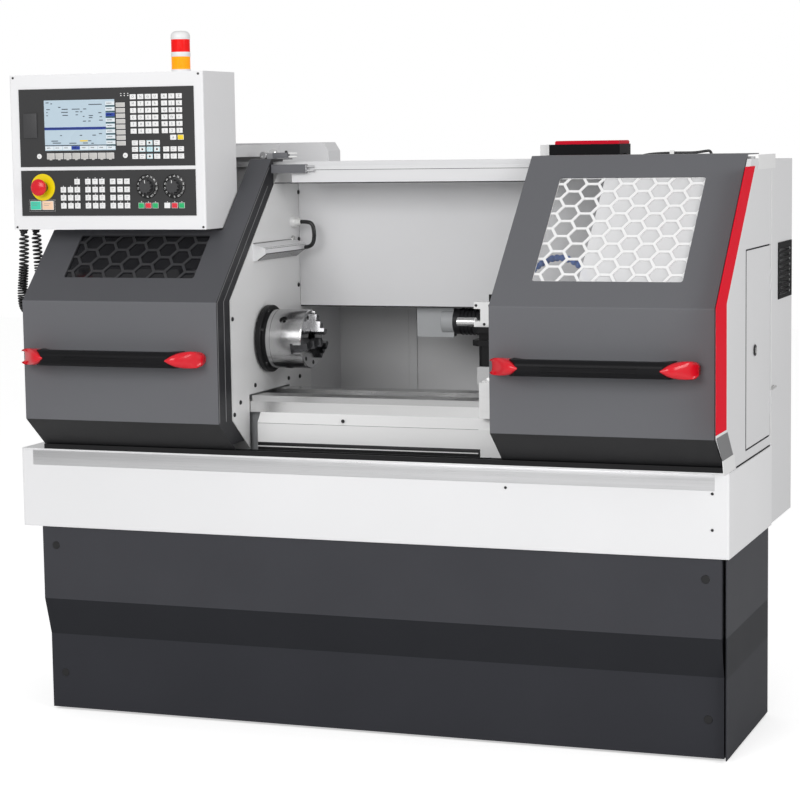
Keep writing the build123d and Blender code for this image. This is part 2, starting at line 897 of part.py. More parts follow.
def build_bed():
    """The cast bed: two ways on deep walls tied by cross ribs, standing on a flange in the tray."""
    x = (bed_start_x, bed_end_x)
    floor_z = tray_bottom_z + sheet
    bed = side_profile(way_section(front_way_back, True), x)
    bed += side_profile(way_section(rear_way_back, False), x)
    front_wall = front_way_back + bed_wall_inset
    rear_wall = rear_way_back + way_width - bed_wall_inset - bed_wall
    for back in (front_wall, rear_wall):
        bed += block(x, (back, back + bed_wall), (floor_z, way_top_z - way_height / 2))
    ribs = int((x[1] - x[0] - bed_rib) / bed_rib_pitch) + 1
    for i in range(ribs):
        rib_x = x[0] + i * bed_rib_pitch
        bed += block((rib_x, rib_x + bed_rib), (front_wall + bed_wall / 2, rear_wall + bed_wall / 2),
                     (floor_z, way_top_z - way_height))
    for back in (front_wall - bed_foot_width, rear_wall):
        bed += block(x, (back, back + bed_wall + bed_foot_width), (floor_z, floor_z + bed_foot_height))
    return bed


def build_way_guard():
    """The folded guard in front of the bed: apron, lip and sloping ledge, on a shelf from the bed's wall."""
    top = [(guard_apron_back, guard_lip_z), (front_way_back, way_top_z - way_height)]
    short = [(guard_apron_back, guard_apron_bottom_z)] + top
    tall = [(guard_apron_back, tray_top_z)] + top
    guard = bent_sheet(short, (guard_start_x, guard_full_x), sheet, 1)
    guard += bent_sheet(tall, (guard_full_x, side_skin_x), sheet, 1)
    shelf_back = (guard_apron_back + sheet / 2, front_way_back + bed_wall_inset)
    shelf_z = (guard_lip_z - 3 * sheet, guard_lip_z - 2 * sheet)
    return guard + block((guard_start_x, bed_end_x), shelf_back, shelf_z)


def build_headstock():
    """The headstock: a casting with the spindle's bores in both end walls, on a pedestal in the tray."""
    x = (headstock_left_x, wall_x + backplate_gap - nose_flange_thickness - nose_end_gap)
    back = (front_way_back, rear_way_back + way_width + headstock_back)
    z = (way_top_z, spindle_z + headstock_top)
    wall = headstock_wall
    stock = block(x, back, z)
    stock = fillet(stock.edges().filter_by(Axis.X).group_by(Axis.Z)[-1], headstock_corner)
    stock -= block((x[0] + wall, x[1] - wall), (back[0] + wall, back[1] - wall), (z[0] + wall, z[1] - wall))
    stock -= rod_x((x[0] - 1, x[1] + 1), spindle_back, spindle_z, spindle_radius + spindle_fit)
    floor_z = tray_bottom_z + sheet
    pedestal_x = (x[0] + wall, bed_start_x - seam_gap)
    pedestal = block(pedestal_x, (back[0] + wall, back[1] - wall), (floor_z, z[0] + wall / 2))
    return stock + pedestal - block((pedestal_x[0] + wall, pedestal_x[1] - wall),
                                    (back[0] + 2 * wall, back[1] - 2 * wall), (floor_z - 1, z[0] - wall))


def build_left_housing():
    """The fixed housing over the headstock: its right side is the wall of the work area."""
    x = (housing_left_x, wall_x)
    front = outline_between(tray_top_z, beam_top_z, housing_shift)
    shell = side_profile(front + [(tray_depth, beam_top_z), (tray_depth, tray_top_z)], x)
    inner_front = outline_between(tray_top_z - 1, beam_top_z - sheet, housing_shift + housing_wall)
    inner = inner_front + [(tray_depth + 1, beam_top_z - sheet), (tray_depth + 1, tray_top_z - 1)]
    shell -= side_profile(inner, (x[0] + sheet, x[1] - sheet))
    shell -= rod_x((x[1] - 2 * sheet, x[1] + 1), spindle_back, spindle_z, nose_radius + nose_clearance)
    shell -= rod_x((x[0] - 1, x[0] + 2 * sheet), spindle_back, spindle_z, spindle_radius + spindle_port_gap)
    way_space = (front_way_back - way_gap, rear_way_back + way_width + way_gap)
    shell -= block((x[1] - 2 * sheet, x[1] + 1), way_space, (tray_bottom_z, way_top_z + way_gap))
    boss_x = (x[1], x[1] + lamp_gland_reach - gland_length)
    boss = rod_x(boss_x, lamp_gland_back, lamp_gland_z, lamp_boss_radius)
    return shell + chamfer(boss.edges().group_by(Axis.X)[-1], lamp_boss_radius / 4)


def build_upper_panel():
    """The panel over the back of the work area, folded rearwards over the recess."""
    path = [(recess_back, recess_fold_z), (panel_back, recess_fold_z), (panel_back, beam_top_z)]
    return bent_sheet(path, (wall_x + recess_edge_gap, access_clear_x), sheet, 1)


def build_recess_wall():
    """The wall at the back of the recess, with its seam and the deep slot between its sheets."""
    z = (tray_top_z, recess_roof_z)
    wall = block((wall_x + recess_edge_gap, side_skin_x - sheet), (recess_back, recess_back + recess_wall), z)
    for seam, width, deep in zip(seam_x, seam_width, seam_depth):
        wall -= block((seam, seam + width), (recess_back - 1, recess_back + deep), (z[0] - 1, z[1] + 1))
    return wall


def cabinet_form(inset):
    """The cabinet's outer form moved inwards by an inset: a low box with an upper box in front of it."""
    rear = rear_y - tray_front_y
    low = block((cabinet_left_x + inset, end_panel_outer_x - inset), (tray_depth + inset, rear - inset),
                (cabinet_bottom_z + inset, cabinet_top_z - inset))
    upper = block((wall_x + inset, access_clear_x - inset),
                  (cabinet_upper_back + inset, tray_depth + 2 * inset + 1),
                  (recess_roof_z + inset, cabinet_top_z - inset))
    recess = block((wall_x + recess_edge_gap - inset, side_skin_x - sheet + inset),
                   (tray_depth - 1, recess_back + recess_wall + inset),
                   (tray_top_z - inset, recess_roof_z + inset))
    return low + upper - recess


def build_cabinet():
    """The electrical cabinet behind the machine: a sheet shell wrapped round the recess."""
    cabinet = cabinet_form(0) - cabinet_form(sheet)
    vent = block((side_skin_x - 1, end_panel_outer_x + 1),
                 (louvre_front_back + louvre_border, louvre_rear_back - louvre_border),
                 (louvre_bottom_z + louvre_border, louvre_top_z - louvre_border))
    return cabinet - vent


def build_louvre():
    """The filter grille on the cabinet's right side: a frame with slats."""
    x = (end_panel_outer_x, half_length)
    frame = block(x, (louvre_front_back, louvre_rear_back), (louvre_bottom_z, louvre_top_z))
    frame = chamfer(frame.faces().sort_by(Axis.X)[-1].edges(), louvre_chamfer)
    pitch = (louvre_top_z - louvre_bottom_z - 2 * louvre_border) / louvre_slats
    for i in range(louvre_slats):
        low = louvre_bottom_z + louvre_border + i * pitch
        frame -= block((x[0] - 1, x[1] + 1),
                       (louvre_front_back + louvre_border, louvre_rear_back - louvre_border),
                       (low, low + pitch - louvre_slat))
    return frame


hinge_x = half_length - hinge_radius
hinge_back = access_rear_back - hinge_radius - hinge_swing_gap
hinge_length = 3 * knuckle_length + 2 * slide_gap
hinge_heights = (access_bottom_z + hinge_from_end, access_top_z - hinge_from_end - hinge_length)


def hinge_knuckle(low, tab_back):
    """One knuckle of the access door's hinges, with the tab that joins it to its sheet."""
    z = (low, low + knuckle_length)
    tab = block((end_panel_outer_x - 1, half_length), tab_back, z)
    return tab + rod_z(hinge_x, hinge_back, z, hinge_radius)


def build_end_panel():
    """The right end panel: a side sheet with folded front and top edges, open where the access door hangs."""
    x = (side_skin_x, end_panel_outer_x)
    front = outline_between(tray_top_z, end_panel_top_z, end_panel_setback)
    panel = side_profile(front + [(tray_depth, end_panel_top_z), (tray_depth, tray_top_z)], x)
    inner = outline_between(tray_top_z, end_panel_top_z, end_panel_setback + 2 * sheet)
    panel += side_profile(front + inner[::-1], (end_flange_x, x[1]))
    top_front = skin_back(end_panel_top_z, end_panel_setback)
    panel += block((end_flange_x, x[1]), (top_front, tray_depth), (end_panel_top_z - sheet, end_panel_top_z))
    panel -= block((x[0] - 1, x[1] + 1), (access_front_back, access_rear_back),
                   (access_bottom_z, access_top_z))
    for low in hinge_heights:
        for knuckle_z in (low, low + hinge_length - knuckle_length):
            panel += hinge_knuckle(knuckle_z, (hinge_back, access_rear_back + hinge_tab))
        panel += rod_z(hinge_x, hinge_back, (low + 1, low + hinge_length - 1), hinge_pin_radius)
    return panel


def build_access_door():
    """The access door in the end panel, with its folded rim, its lock and its hinge knuckles."""
    x = (side_skin_x, end_panel_outer_x)
    back = (access_front_back + seam_gap, hinge_back)
    z = (access_bottom_z + seam_gap, access_top_z - seam_gap)
    door = block(x, back, z)
    rim_x = (x[0] - access_flange, x[0])
    rim_back = (back[0], back[1] - 2 * hinge_radius)
    door += block(rim_x, rim_back, z) - block(
        (rim_x[0] - 1, rim_x[1] + 1), (rim_back[0] + sheet, rim_back[1] - sheet), (z[0] + sheet, z[1] - sheet))
    lock_back = access_front_back + lock_from_edge
    door += rod_x((x[1] - 1, x[1] + lock_proud), lock_back, lock_z, lock_radius)
    for low in hinge_heights:
        door -= block((x[0] - 1, x[1] + 1), (hinge_back - hinge_radius - slide_gap, hinge_back + 1),
                      (low - slide_gap, low + hinge_length + slide_gap))
        middle = low + knuckle_length + slide_gap
        knuckle = hinge_knuckle(middle, (hinge_back - hinge_radius - hinge_tab, hinge_back))
        door += knuckle - rod_z(hinge_x, hinge_back, (middle - 1, middle + knuckle_length + 1),
                                hinge_pin_radius + hinge_fit)
    return door


def build_red_trim():
    """The band along the front edge of the end panel."""
    front = outline_between(red_trim_bottom_z, red_trim_top_z, end_panel_setback)
    rear = outline_between(red_trim_bottom_z, red_trim_top_z, end_panel_setback + red_trim_width)
    return side_profile(front + rear[::-1], (end_panel_outer_x, end_panel_outer_x + red_trim_thickness))


def build_right_housing():
    """The fixed cover behind the right door, over the tailstock's end of the bed."""
    x = (right_housing_x, side_skin_x)
    shift = right_housing_setback
    top_z = beam_bottom_z - slide_gap
    path = [
        (guard_apron_back, right_housing_fold_z),
        (door_face + shift, right_housing_fold_z),
        (door_face + shift, upper_fold_z),
        (skin_back(top_z, shift), top_z),
    ]
    cover = bent_sheet(path, x)
    near = outline_between(lower_fold_z, top_z - sheet, shift + sheet / 2)
    far = outline_between(lower_fold_z, top_z - sheet, shift + right_housing_return)
    return cover + side_profile(near + far[::-1], (x[0], x[0] + sheet))


def build_spindle():
    """The hollow spindle with the flange at its nose that the chuck's backplate bolts to."""
    nose_x = wall_x + backplate_gap
    spindle = rod_x((spindle_rear_x, nose_x), spindle_back, spindle_z, spindle_radius)
    spindle += rod_x((nose_x - nose_flange_thickness, nose_x), spindle_back, spindle_z, nose_radius)
    spindle = chamfer(spindle.edges().group_by(Axis.X)[0], edge_break)
    return spindle - rod_x((spindle_rear_x - 1, nose_x + 1), spindle_back, spindle_z, bore_radius)


backplate_x = wall_x + backplate_gap
chuck_x = backplate_x + backplate_thickness + hub_length
chuck_face_x = chuck_x + chuck_length


def build_backplate():
    """The backplate behind the chuck, with the hub that the chuck's body is registered on."""
    plate = rod_x((backplate_x, backplate_x + backplate_thickness), spindle_back, spindle_z, backplate_radius)
    plate = chamfer(plate.edges().group_by(Axis.X)[-1], edge_break)
    plate += rod_x((backplate_x, chuck_x), spindle_back, spindle_z, hub_radius)
    return plate - rod_x((backplate_x - 1, chuck_x + 1), spindle_back, spindle_z, chuck_bore_radius)


def radial_frame(angle):
    """A frame on the chuck's face: X runs outwards along one jaw, Z runs out of the face."""
    outwards = (0, -math.cos(math.radians(angle)), math.sin(math.radians(angle)))
    return Plane(origin=(chuck_face_x, depth(spindle_back), spindle_z), x_dir=outwards, z_dir=(1, 0, 0))


def radial_block(angle, reach, width, height):
    """A box on the chuck: limits outwards from the axis, a width across, and limits out of the face."""
    size = Box(reach[1] - reach[0], width, height[1] - height[0])
    return radial_frame(angle) * Pos(sum(reach) / 2, 0, sum(height) / 2) * size


jaw_angles = [jaw_angle + 120 * i for i in range(3)]


def build_chuck_body():
    """The chuck's body: three T slots for the jaws, and the key sockets of its three pinions."""
    body = rod_x((chuck_x, chuck_face_x), spindle_back, spindle_z, chuck_radius)
    body = chamfer(body.edges().group_by(Axis.X)[-1], 2 * edge_break)
    body -= rod_x((chuck_x - 1, chuck_face_x + 1), spindle_back, spindle_z, chuck_bore_radius)
    seam = chuck_x + chuck_seam_distance
    ring = rod_x((seam, seam + chuck_groove), spindle_back, spindle_z, chuck_radius + 1)
    body -= ring - rod_x((seam - 1, seam + 2), spindle_back, spindle_z, chuck_radius - chuck_groove)
    slot_end = chuck_radius + 2
    for angle in jaw_angles:
        body -= radial_block(angle, (0, slot_end), jaw_width + 2 * jaw_fit, (-jaw_depth - jaw_fit, 1))
        tongue = jaw_width + 2 * jaw_tongue + 2 * jaw_fit
        tongue_z = (-jaw_depth - jaw_fit, jaw_tongue_thickness + jaw_fit - jaw_depth)
        body -= radial_block(angle, (0, slot_end), tongue, tongue_z)
        outer = radial_frame(angle + 60) * Pos(chuck_radius, 0, -socket_from_face) * Rot(0, 90, 0)
        body -= outer * Cylinder(socket_radius, 2 * socket_depth)
        inner = radial_frame(angle + 60) * Pos(chuck_radius - socket_depth, 0, -socket_from_face)
        body += inner * Rot(0, 90, 0) * Cylinder(pinion_radius, 2 * pinion_proud)
        body -= inner * Rot(0, 90, 0) * Box(socket_square, socket_square, 2 * socket_depth)
    return body


def build_jaw(angle):
    """One stepped jaw: a wedge-shaped tip, steps that rise towards the centre, and a tongue each side."""
    outer = jaw_tip_radius + jaw_length
    jaw = radial_block(angle, (0, outer), jaw_width, (-jaw_depth, jaw_rise))
    for step in range(1, jaw_steps + 1):
        start = jaw_tip_radius + jaw_step_start + (step - 1) * jaw_step_length
        step_z = (jaw_rise - step * jaw_step, jaw_rise + 1)
        jaw -= radial_block(angle, (start, outer + 1), jaw_width + 1, step_z)
    tongue_z = (-jaw_depth, jaw_tongue_thickness - jaw_depth)
    jaw += radial_block(angle, (0, outer), jaw_width + 2 * jaw_tongue, tongue_z)
    wedge_width = jaw_width + 2 * jaw_tongue
    wedge_far = (jaw_tip_radius + wedge_width, wedge_width * math.sqrt(3))
    wedge = [(jaw_tip_radius, 0), wedge_far, (-1, wedge_width * 2), (-1, -wedge_width * 2),
             (wedge_far[0], -wedge_far[1])]
    cut = extrude(radial_frame(angle) * make_face(Polyline(*wedge, close=True)), 2 * jaw_rise, both=True)
    return jaw - cut


def build_saddle():
    """The saddle on both ways: its dovetail, the ribbed apron in front and the lowest cover plate."""
    x = (saddle_x, saddle_x + saddle_width)
    low = way_top_z + slide_fit
    top = way_top_z + saddle_height
    saddle = block(x, (saddle_front_back, saddle_rear_back), (low, top))
    saddle = chamfer(saddle.edges().filter_by(Axis.Z).group_by(Axis.Y)[-1], saddle_corner)
    middle = (x[0] + x[1]) / 2
    saddle += dovetail(middle, (apron_front_back + cover_length + 2, saddle_rear_back), top, 0)
    apron = block(x, (apron_front_back, saddle_front_back), (apron_bottom_z, apron_top_z))
    rib = (apron_top_z - apron_bottom_z) / apron_ribs
    for i in range(1, apron_ribs):
        line = apron_bottom_z + i * rib
        apron -= block((x[0] - 1, x[1] + 1), (apron_front_back - 1, apron_front_back + apron_groove),
                       (line - apron_groove / 2, line + apron_groove / 2))
    apron -= block((x[0] + cover_wall, x[1] - cover_wall), (apron_front_back + sheet, saddle_front_back),
                   (apron_bottom_z + cover_wall, apron_top_z - cover_wall))
    apron += block(cover_x(0), (apron_front_back + 1, apron_front_back + cover_length),
                   (apron_top_z - cover_wall, apron_top_z))
    return saddle + apron


def dovetail(middle, back, floor_z, gap):
    """A dovetail along Y, wider at its top, grown by a running gap."""
    low = dovetail_width / 2 + gap
    high = low + dovetail_flare
    points = [(middle - low, floor_z - 1), (middle - high, floor_z + dovetail_height + gap),
              (middle + high, floor_z + dovetail_height + gap), (middle + low, floor_z - 1)]
    start = Plane(origin=(0, depth(back[0]), 0), x_dir=(1, 0, 0), z_dir=(0, -1, 0))
    face = start * make_face(Polyline(*points, close=True))
    return extrude(face, -(back[1] - back[0]))


def cover_x(level):
    """The limits along the length of one telescopic cover plate, counted from the apron up."""
    inset = cover_inset * level
    return (saddle_x + inset, saddle_x + saddle_width - inset)


def build_cover_plate(level):
    """One telescopic cover plate with the lips that rest on the plate below it."""
    top = apron_top_z + level * cover_step
    front = apron_front_back + level * cover_front_pitch
    x = cover_x(level)
    plate = block(x, (front, front + cover_length), (top - cover_step + cover_gap, top))
    return plate - block((x[0] + cover_wall, x[1] - cover_wall),
                         (front + cover_wall, front + cover_length + 1),
                         (top - cover_step - 1, top - cover_wall))


def build_cross_slide():
    """The cross slide: a table with a dovetail groove, T slots, a motor bracket and the top cover plate."""
    x = (slide_x, slide_x + slide_width)
    back = (slide_front_back, slide_front_back + slide_length)
    floor_z = way_top_z + saddle_height + slide_fit
    table = block(x, back, (floor_z, slide_top_z))
    middle = saddle_x + saddle_width / 2
    table -= dovetail(middle, (back[0] - 1, back[1] + 1), floor_z - slide_fit, slide_fit)
    for i in range(2):
        slot_x = turret_left_x + turret_size + t_slot_margin + i * t_slot_pitch
        table -= block((slot_x, slot_x + t_slot_width), (back[0] - 1, back[1] + 1),
                       (slide_top_z - t_slot_depth, slide_top_z + 1))
    bracket_x = motor_left_x + motor_box_length + motor_length
    bracket_back = (motor_back - motor_radius, motor_back + motor_radius)
    table += block((bracket_x, bracket_x + motor_plate_thickness), bracket_back,
                   (slide_top_z - 1, motor_z + motor_radius))
    front = apron_front_back + cover_levels * cover_front_pitch
    tail = block(cover_x(cover_levels), (front + cover_length - 1, back[0] + 1),
                 (cover_top_z - cover_wall, cover_top_z))
    return table + build_cover_plate(cover_levels) + tail


def build_turret_base():
    """The fixed base of the turret, with the pin that its head indexes on."""
    x = (turret_left_x + turret_base_inset, turret_left_x + turret_size)
    back = (turret_front_back + turret_base_inset / 2, turret_front_back + turret_size)
    base = block(x, back, (slide_top_z, turret_base_top_z))
    base = chamfer(base.edges().filter_by(Axis.Z), turret_corner / 2)
    pin_z = (turret_base_top_z - 1, turret_base_top_z + turret_pin_depth)
    return base + rod_z(turret_middle_x, turret_middle_back, pin_z, turret_pin_radius)


turret_middle_x = turret_left_x + turret_size / 2
turret_middle_back = turret_front_back + turret_size / 2


def build_turret_head():
    """The indexing head: a square block with cut corners and a tool slot along each side."""
    x = (turret_left_x, turret_left_x + turret_size)
    back = (turret_front_back, turret_front_back + turret_size)
    z = (turret_base_top_z + slide_gap, turret_top_z)
    head = block(x, back, z)
    head = chamfer(head.edges().filter_by(Axis.Z), turret_corner)
    low = z[0] + (z[1] - z[0] - turret_slot_height) / 2
    slot_z = (low, low + turret_slot_height)
    inside = block((x[0] + turret_slot_depth, x[1] - turret_slot_depth),
                   (back[0] + turret_slot_depth, back[1] - turret_slot_depth), slot_z)
    head -= block((x[0] - 1, x[1] + 1), (back[0] - 1, back[1] + 1), slot_z) - inside
    pin_top = turret_base_top_z + turret_pin_depth + slide_gap
    head -= rod_z(turret_middle_x, turret_middle_back, (z[0] - 1, pin_top),
                  turret_pin_radius + turret_pin_fit)
    hole_pitch = (turret_size - 2 * turret_corner) / turret_screws
    for i in range(turret_screws):
        along = turret_corner + (i + 0.5) * hole_pitch
        for hole_back in (back[0] + turret_slot_depth / 2, back[1] - turret_slot_depth / 2):
            head -= rod_z(x[0] + along, hole_back, (z[1] - turret_screw_depth, z[1] + 1), turret_screw_radius)
    return head


def build_tool_holder():
    """The tool holder clamped on the turret: a bracket plate with its boring bar and clamp knob."""
    x = (holder_left_x, holder_left_x + holder_width)
    back = (holder_front_back, holder_front_back + holder_depth)
    holder = block(x, back, (turret_top_z, holder_foot_z))
    holder += block((x[0] + holder_neck_left, x[1]), back, (holder_foot_z - 1, holder_bar_z + 1))
    holder += block(x, back, (holder_bar_z, holder_top_z))
    bar_back = sum(back) / 2
    holder += rod_x((x[0] - tool_bar_length, x[0] + 1), bar_back, tool_bar_z, tool_bar_radius)
    knob = (holder_top_z - 1, holder_top_z + holder_knob_height)
    return holder + rod_z(x[1] - holder_knob_radius - 2, bar_back, knob, holder_knob_radius)


def build_turret_motor():
    """The motor behind the turret with its terminal box."""
    box = block((motor_left_x, motor_left_x + motor_box_length),
                (motor_box_back, motor_box_back + motor_box_depth),
                (motor_box_bottom_z, motor_box_bottom_z + motor_box_height))
    box = chamfer(box.edges().filter_by(Axis.Y), 2 * edge_break)
    start = motor_left_x + motor_box_length
    motor = rod_x((start - motor_overlap, start + motor_length), motor_back, motor_z, motor_radius)
    return box + chamfer(motor.edges().group_by(Axis.X)[0], 2 * edge_break)


barrel_x = (tailstock_x + barrel_overhang, tailstock_x + tailstock_width + barrel_overhang)
quill_tip_x = tailstock_x - quill_out


def build_tailstock():
    """The tailstock: a foot on both ways, a neck, and the barrel that the quill slides in."""
    x = (tailstock_x, tailstock_x + tailstock_width)
    low = way_top_z + slide_fit
    foot = block(x, (front_way_back, rear_way_back + way_width), (low, low + tailstock_base_height))
    foot = chamfer(foot.edges().filter_by(Axis.X).group_by(Axis.Z)[-1], tailstock_shoulder)
    neck = block((x[0] + barrel_overhang, x[1]), (spindle_back - tailstock_neck_width / 2,
                                                 spindle_back + tailstock_neck_width / 2),
                 (low + tailstock_base_height - 1, spindle_z))
    barrel = rod_x(barrel_x, spindle_back, spindle_z, barrel_radius)
    body = foot + neck + chamfer(barrel.edges().group_by(Axis.X)[0], 2 * edge_break)
    end = barrel_x[1] - quill_end_wall
    body -= rod_x((barrel_x[0] - 1, end), spindle_back, spindle_z, quill_radius + quill_fit)
    return body - rod_x((end - 1, barrel_x[1] + 1), spindle_back, spindle_z, screw_radius + quill_fit)


def build_quill():
    """The tailstock's quill, with the taper at its tip and the hollow that its screw runs in."""
    x = (quill_tip_x, quill_tip_x + quill_length)
    quill = rod_x(x, spindle_back, spindle_z, quill_radius)
    quill = chamfer(quill.edges().group_by(Axis.X)[0], edge_break)
    taper = Cone(taper_radius, taper_radius * 0.75, taper_depth)
    quill -= Pos(x[0] + taper_depth / 2, depth(spindle_back), spindle_z) * Rot(0, 90, 0) * taper
    return quill - rod_x((x[1] - screw_length, x[1] + 1), spindle_back, spindle_z,
                         screw_radius + screw_clearance)


def build_handwheel():
    """The tailstock's handwheel: rim, three spokes, hub and crank, on the screw that moves the quill."""
    start = barrel_x[1] + handwheel_gap
    x = (start, start + handwheel_thickness)
    wheel = rod_x(x, spindle_back, spindle_z, handwheel_radius)
    wheel -= rod_x((x[0] - 1, x[1] + 1), spindle_back, spindle_z, handwheel_radius - handwheel_rim)
    wheel += rod_x((barrel_x[1] + slide_gap, x[1] + 2), spindle_back, spindle_z, handwheel_hub_radius)
    centre = Pos(sum(x) / 2, depth(spindle_back), spindle_z)
    spoke = Pos(0, 0, (handwheel_hub_radius + handwheel_radius - handwheel_rim) / 2) * Box(
        handwheel_thickness / 2, spoke_width, handwheel_radius - handwheel_rim - handwheel_hub_radius + 6)
    for i in range(3):
        wheel += centre * Rot(120 * i, 0, 0) * spoke
    crank_z = spindle_z + handwheel_radius - handwheel_rim / 2
    wheel += rod_x((x[1] - 1, x[1] + crank_length), spindle_back, crank_z - crank_radius / 2, crank_radius)
    return wheel + rod_x((quill_tip_x + quill_length - screw_length + screw_end_gap, x[0] + 1),
                         spindle_back, spindle_z, screw_radius)


def panel_block(left, down, size, back):
    """A box on the console's front: distances from its left and top edges, a size, and limits in depth."""
    x = (console_left_x + left, console_left_x + left + size[0])
    return block(x, back, (console_top_z - down - size[1], console_top_z - down))


def key(middle, down, size):
    """One key of the console, standing proud of its panel."""
    back = (-panel_proud - key_proud, -panel_proud + 0.5)
    return panel_block(middle - size[0] / 2, down - size[1] / 2, size, back)


def build_console():
    """The console's folded housing, with a shallow seat for each panel and a sloping lower edge behind."""
    x = (console_left_x, console_left_x + console_width)
    back = (0, console_depth)
    z = (console_bottom_z, console_top_z)
    housing = block(x, back, z)
    housing = chamfer(housing.edges().filter_by(Axis.X).group_by(Axis.Y)[-1].group_by(Axis.Z)[0],
                      console_rear_chamfer)
    housing = fillet(housing.edges().filter_by(Axis.Z).group_by(Axis.Y)[0], console_edge)
    hollow = block((x[0] + sheet, x[1] - sheet), (panel_thickness + sheet, back[1] - sheet),
                   (z[0] + sheet, z[1] - sheet))
    hollow = chamfer(hollow.edges().filter_by(Axis.X).group_by(Axis.Y)[-1].group_by(Axis.Z)[0],
                     console_rear_chamfer)
    seat = (-1, panel_thickness - panel_proud)
    housing -= hollow
    housing -= panel_block(panel_left, display_top, (panel_width, display_height), seat)
    housing -= panel_block(panel_left, machine_top, (panel_width, machine_height), seat)
    for x, down, radius in ((dial_x[0], dial_down, shaft_radius), (dial_x[1], dial_down, shaft_radius),
                            (stop_x, stop_down, stop_stem_radius)):
        housing -= rod_y(console_left_x + x, (-1, panel_thickness + 2 * sheet), console_top_z - down,
                         radius + 1)
    return housing


def build_display_panel():
    """The display panel with its interface hatch, soft keys and key pad."""
    back = (-panel_proud, panel_thickness - panel_proud)
    panel = panel_block(panel_left, display_top, (panel_width, display_height), back)
    panel -= panel_block(screen_left, screen_top, (screen_width, screen_height),
                         (back[0] - 1, back[0] + screen_seat))
    panel += panel_block(hatch_left, hatch_top, (hatch_width, hatch_height), (back[0] - 1, back[0] + 0.5))
    keys = []
    for i in range(softkey_count):
        keys.append(key(side_key_x, side_key_top + i * side_key_pitch, (side_key_width, side_key_height)))
        keys.append(key(lower_key_x + i * lower_key_pitch, lower_key_down,
                        (lower_key_width, lower_key_height)))
    for column in key_columns:
        for row in range(key_rows):
            keys.append(key(column, key_top + row * key_pitch, (key_width, key_height)))
    for column in cursor_columns:
        for row in cursor_rows:
            keys.append(key(column, row, (key_width, key_height)))
    for column in cursor_columns[:letter_row_keys]:
        keys.append(key(column, letter_row, (key_width, key_height)))
    for x in shift_key_x:
        keys.append(key(x, shift_key_down, (key_width, key_height)))
    for x in round_key_x:
        keys.append(rod_y(console_left_x + x, (back[0] - key_proud, back[0] + 0.5),
                          console_top_z - lower_key_down, round_key_radius))
    return panel + keys


def build_screen():
    """The display's screen, seated in its panel."""
    return panel_block(screen_left, screen_top, (screen_width, screen_height),
                       (-panel_proud, -panel_proud + screen_seat))


def build_machine_panel():
    """The lower panel: mode keys, dial scales, and the stop button's plate and collar."""
    back = (-panel_proud, panel_thickness - panel_proud)
    front = back[0]
    panel = panel_block(panel_left, machine_top, (panel_width, machine_height), back)
    keys = [key(column, row, (key_width, key_height)) for column in machine_columns for row in machine_rows]
    upper_columns = machine_columns[machine_top_row_start:]
    keys += [key(x, machine_top_row, (key_width, key_height)) for x in upper_columns]
    keys += [key(x, colour_key_down, (key_width, key_height)) for x in colour_key_x]
    start_size = (start_key_width, start_key_height)
    keys += [key(x + start_key_width / 2, start_key_down, start_size) for x in start_key_x]
    panel += keys
    for x in dial_x:
        centre = (console_left_x + x, console_top_z - dial_down)
        panel += rod_y(centre[0], (front - dial_scale_thickness, front + 0.5), centre[1], dial_scale_radius)
        panel -= rod_y(centre[0], (front - 2, back[1] + 1), centre[1], shaft_radius + shaft_fit)
    centre = (console_left_x + stop_x, console_top_z - stop_down)
    plate_front = front - stop_plate_thickness
    panel += rod_y(centre[0], (plate_front, front + 0.5), centre[1], stop_plate_radius)
    panel += rod_y(centre[0], (plate_front - stop_collar_length, plate_front + 0.5), centre[1],
                   stop_collar_radius)
    return panel - rod_y(centre[0], (plate_front - stop_collar_length - 1, back[1] + 1), centre[1],
                         stop_stem_radius + shaft_fit)


def build_stop():
    """The emergency stop's mushroom head on its stem."""
    centre = (console_left_x + stop_x, console_top_z - stop_down)
    collar_front = -panel_proud - stop_plate_thickness - stop_collar_length
    head_rear = collar_front - stop_travel - slide_gap
    head = rod_y(centre[0], (head_rear - stop_head, head_rear), centre[1], stop_radius)
    head = chamfer(head.edges().group_by(Axis.Y)[0], stop_crown_rise, stop_crown_width)
    return head + rod_y(centre[0], (head_rear - 1, -panel_proud - stop_travel), centre[1], stop_stem_radius)


def build_dial(x):
    """One override dial: a fluted knob on a skirt, with its shaft."""
    centre = (console_left_x + x, console_top_z - dial_down)
    rear = -panel_proud - dial_scale_thickness - slide_gap
    knob = rod_y(centre[0], (rear - dial_height, rear), centre[1], dial_radius)
    for i in range(dial_flutes):
        angle = 2 * math.pi * i / dial_flutes
        knob -= rod_y(centre[0] + dial_radius * math.cos(angle), (rear - dial_height - 1, rear - 4),
                      centre[1] + dial_radius * math.sin(angle), dial_flute_radius)
    knob += rod_y(centre[0], (rear - 3, rear), centre[1], dial_skirt_radius)
    return knob + rod_y(centre[0], (rear - 1, rear + shaft_length), centre[1], shaft_radius)


def build_arm():
    """The duct on the cabinet's roof and the arm that carries the console from it."""
    duct = block((duct_left_x, duct_right_x), (duct_back, duct_back + duct_depth),
                 (cabinet_top_z, duct_top_z))
    duct = chamfer(duct.edges().filter_by(Axis.Y).group_by(Axis.X)[-1].group_by(Axis.Z)[-1],
                   duct_corner_z, duct_corner_x)
    arm = block((arm_left_x, arm_right_x), (console_depth, duct_back + 1), (arm_bottom_z, arm_top_z))
    arm -= block((arm_left_x + sheet, arm_right_x - sheet), (console_depth - 1, duct_back - sheet),
                 (arm_bottom_z + sheet, arm_top_z - sheet))
    return duct + arm


